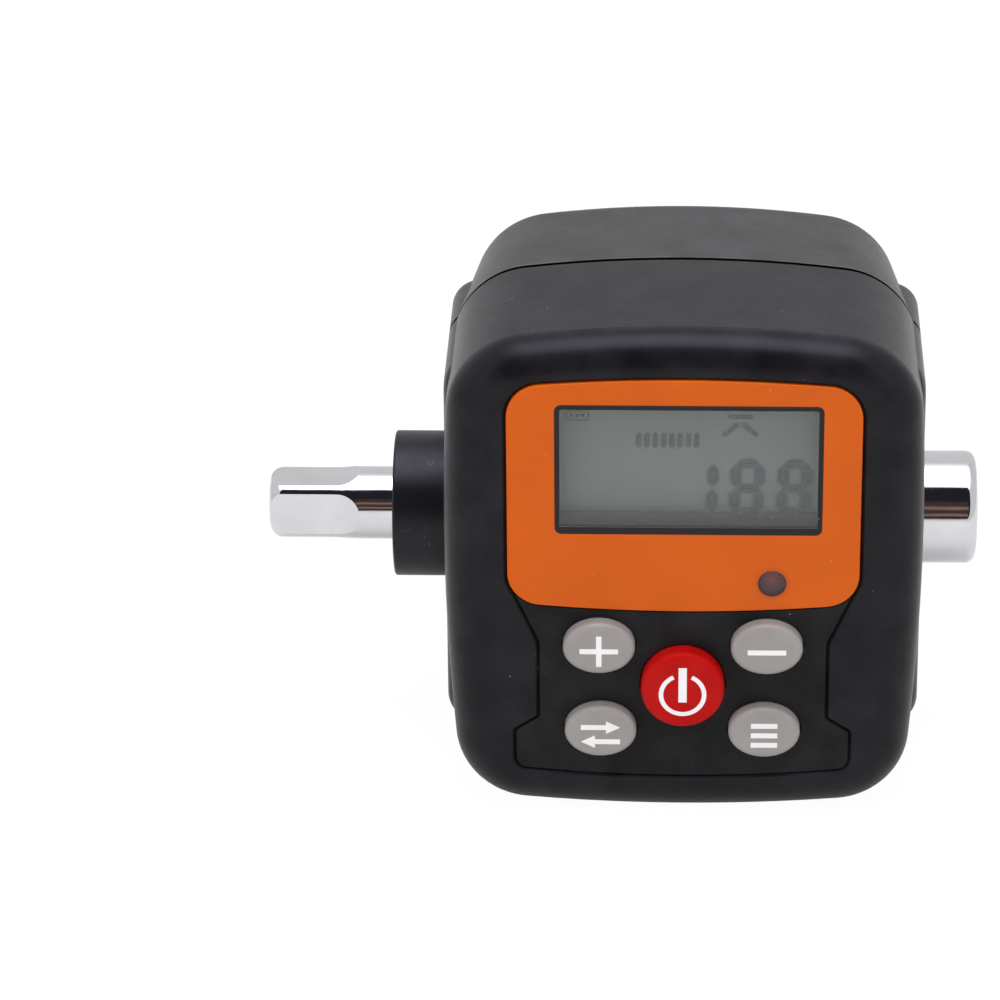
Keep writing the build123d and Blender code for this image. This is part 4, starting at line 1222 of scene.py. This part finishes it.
@dataclass
class Electronics(Assembly):
    """The board with its parts, the cells and the leads."""

    def finishes(self) -> dict[str, Finish]:
        """Board, moulded parts, insulated leads, and the cells between nickel strips."""
        low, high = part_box("battery_cells")
        return {
            **dict.fromkeys(("buzzer", "control_chip", "amplifier_chip"), CHIP),
            "main_pcb": CircuitBoard("circuit_board"),
            "lead_plugs": PLUG,
            "gauge_lead": INSULATION,
            "battery_leads": INSULATION,
            "battery_contacts": NICKEL,
            "battery_cells": CellSleeve("cell_sleeve", (low[0], high[0])),
        }


@dataclass(frozen=True)
class SkyPatch:
    """A round patch of sky in front of the object, in degrees, that its polish mirrors."""

    height: float
    reach: float
    soft: float
    colour: Colour
    fade: float = 1.0

    def mask(self, sheet: Sheet, way: Socket) -> Value:
        """1 within reach of the patch's middle and 0 past its soft edge, to the power of fade.

        Args:
            sheet: The world's tree.
            way: The direction looked in.

        Returns:
            The mask.
        """
        lift = math.radians(self.height)
        middle = (0.0, -math.cos(lift), math.sin(lift))
        near = sheet.node("ShaderNodeVectorMath", {"operation": "DOT_PRODUCT"}, {0: way, 1: middle})
        edge = [math.cos(math.radians(self.reach + side * self.soft / 2)) for side in (1, -1)]
        return Value(sheet, near.outputs["Value"]).ramp(*edge) ** self.fade


@dataclass(frozen=True)
class Lamp:
    """A square area lamp that faces the object and isn't mirrored in it."""

    name: str
    place: Triple
    aim_height: float
    size: float
    power: float

    def add(self) -> None:
        """Makes the lamp, its size in metres and its power in watts."""
        light = bpy.data.lights.new(self.name, "AREA")
        light.size = self.size
        light.energy = self.power
        made = bpy.data.objects.new(self.name, light)
        made.location = self.place
        way = Vector((0.0, 0.0, self.aim_height)) - Vector(self.place)
        made.rotation_euler = way.to_track_quat("-Z", "Y").to_euler()
        made.visible_glossy = False
        bpy.context.scene.collection.objects.link(made)


@dataclass
class Studio:
    """White table and sky, soft lamps, and the camera of the photograph."""

    elevation: float = 25.5
    roll: float = 0.42
    distance: float = 1.094
    focal_px: float = 4846.0
    picture_px: float = 1000.0
    sensor_mm: float = 36.0
    aim_px: tuple[float, float] = (684.0, 493.0)
    aim_behind_face: float = 50.0 * MM
    aim_height: float = 55.0 * MM
    floor_half: float = 3.0
    sky: Colour = (0.5, 0.5, 0.51)
    mirrored_sky: Colour = (0.78, 0.78, 0.79)
    dark: SkyPatch = SkyPatch(32.5, 33.0, 2.5, (0.02, 0.02, 0.024))
    warm: SkyPatch = SkyPatch(19.0, 15.0, 3.0, (0.06, 0.042, 0.038))
    bright: SkyPatch = SkyPatch(88.0, 27.0, 42.0, (5.2, 5.2, 6.4), 4.0)
    shelf_tint: Colour = (0.29, 0.18, 0.15)
    shelf_waves: float = 26.6
    shelf_start: float = 2.12
    lamps: tuple[Lamp, ...] = (
        Lamp("lamp_top", (0.05, -0.25, 1.15), 0.06, 0.9, 10.0),
        Lamp("lamp_left", (-1.0, -0.9, 0.7), 0.05, 0.7, 3.5),
        Lamp("lamp_right", (1.1, -0.7, 0.6), 0.05, 0.6, 2.0),
    )

    def build(self) -> None:
        """Makes the table, the sky, the lamps and the camera."""
        self._floor()
        self._sky()
        for lamp in self.lamps:
            lamp.add()
        self._camera()

    def _floor(self) -> None:
        """A flat sheet that is white to the camera and keeps the object's shadow."""
        corners = np.array([(-1, -1, 0), (1, -1, 0), (1, 1, 0), (-1, 1, 0)]) * self.floor_half
        floor = add_mesh("studio_floor", corners, [[0, 1, 2, 3]], TABLE)

    def _sky(self) -> None:
        """White to the camera and soft grey to light; a gloss mirrors three patches of it."""
        world = bpy.data.worlds.new("studio_sky")
        world.use_nodes = True
        world.node_tree.nodes.clear()
        sheet = Sheet(world.node_tree)
        way = sheet.node("ShaderNodeTexCoord").outputs["Generated"]
        rise = Value(sheet, sheet.node("ShaderNodeSeparateXYZ", inputs={0: way}).outputs[2])
        shelf = (rise * self.shelf_waves - self.shelf_start).wave().ramp(-0.3, 1.0)
        bronze = sheet.mix(shelf, self.warm.colour, self.shelf_tint)
        mirrored = sheet.mix(self.bright.mask(sheet, way), self.mirrored_sky, self.bright.colour)
        mirrored = sheet.mix(self.dark.mask(sheet, way), mirrored, self.dark.colour)
        mirrored = sheet.mix(self.warm.mask(sheet, way), mirrored, bronze)
        plain = sheet.mix(sheet.ray("Glossy"), self.sky, mirrored)
        seen = sheet.ray("Camera").largest(sheet.ray("Transmission"))
        colour = sheet.mix(seen, plain, WHITE)
        back = sheet.node("ShaderNodeBackground", inputs={"Color": colour})
        sheet.node("ShaderNodeOutputWorld", inputs={"Surface": back.outputs[0]})
        bpy.context.scene.world = world

    def _camera(self) -> None:
        """The photograph's viewpoint: its axis meets a point inside the housing."""
        low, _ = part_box("front_shell")
        aim = (middle_of("front_shell").x, low[1] + self.aim_behind_face, self.aim_height)
        camera = bpy.data.cameras.new("photo_camera")
        camera.sensor_width = self.sensor_mm
        camera.lens = self.focal_px / self.picture_px * self.sensor_mm
        camera.shift_x = 0.5 - self.aim_px[0] / self.picture_px
        camera.shift_y = self.aim_px[1] / self.picture_px - 0.5
        camera.clip_end = 20.0
        made = bpy.data.objects.new("photo_camera", camera)
        tilt = Matrix.Rotation(math.radians(90.0 - self.elevation), 4, "X")
        turn = Matrix.Rotation(math.radians(self.roll), 4, "Z")
        back = Matrix.Translation((0.0, 0.0, self.distance))
        made.matrix_world = Matrix.Translation(aim) @ tilt @ turn @ back
        bpy.context.scene.collection.objects.link(made)
        bpy.context.scene.camera = made


def main() -> None:
    """Dresses the frame piece by piece."""
    logging.basicConfig(level=logging.INFO, format="%(name)s %(message)s")
    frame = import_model()
    bpy.context.scene.view_settings.view_transform = "Standard"
    Studio().build()
    for assembly in (Housing(), Drive(), Display(), Keypad(), Electronics()):
        assembly.dress(frame)
        LOG.info("%s dressed", type(assembly).__name__)


if __name__ == "__main__":
    main()
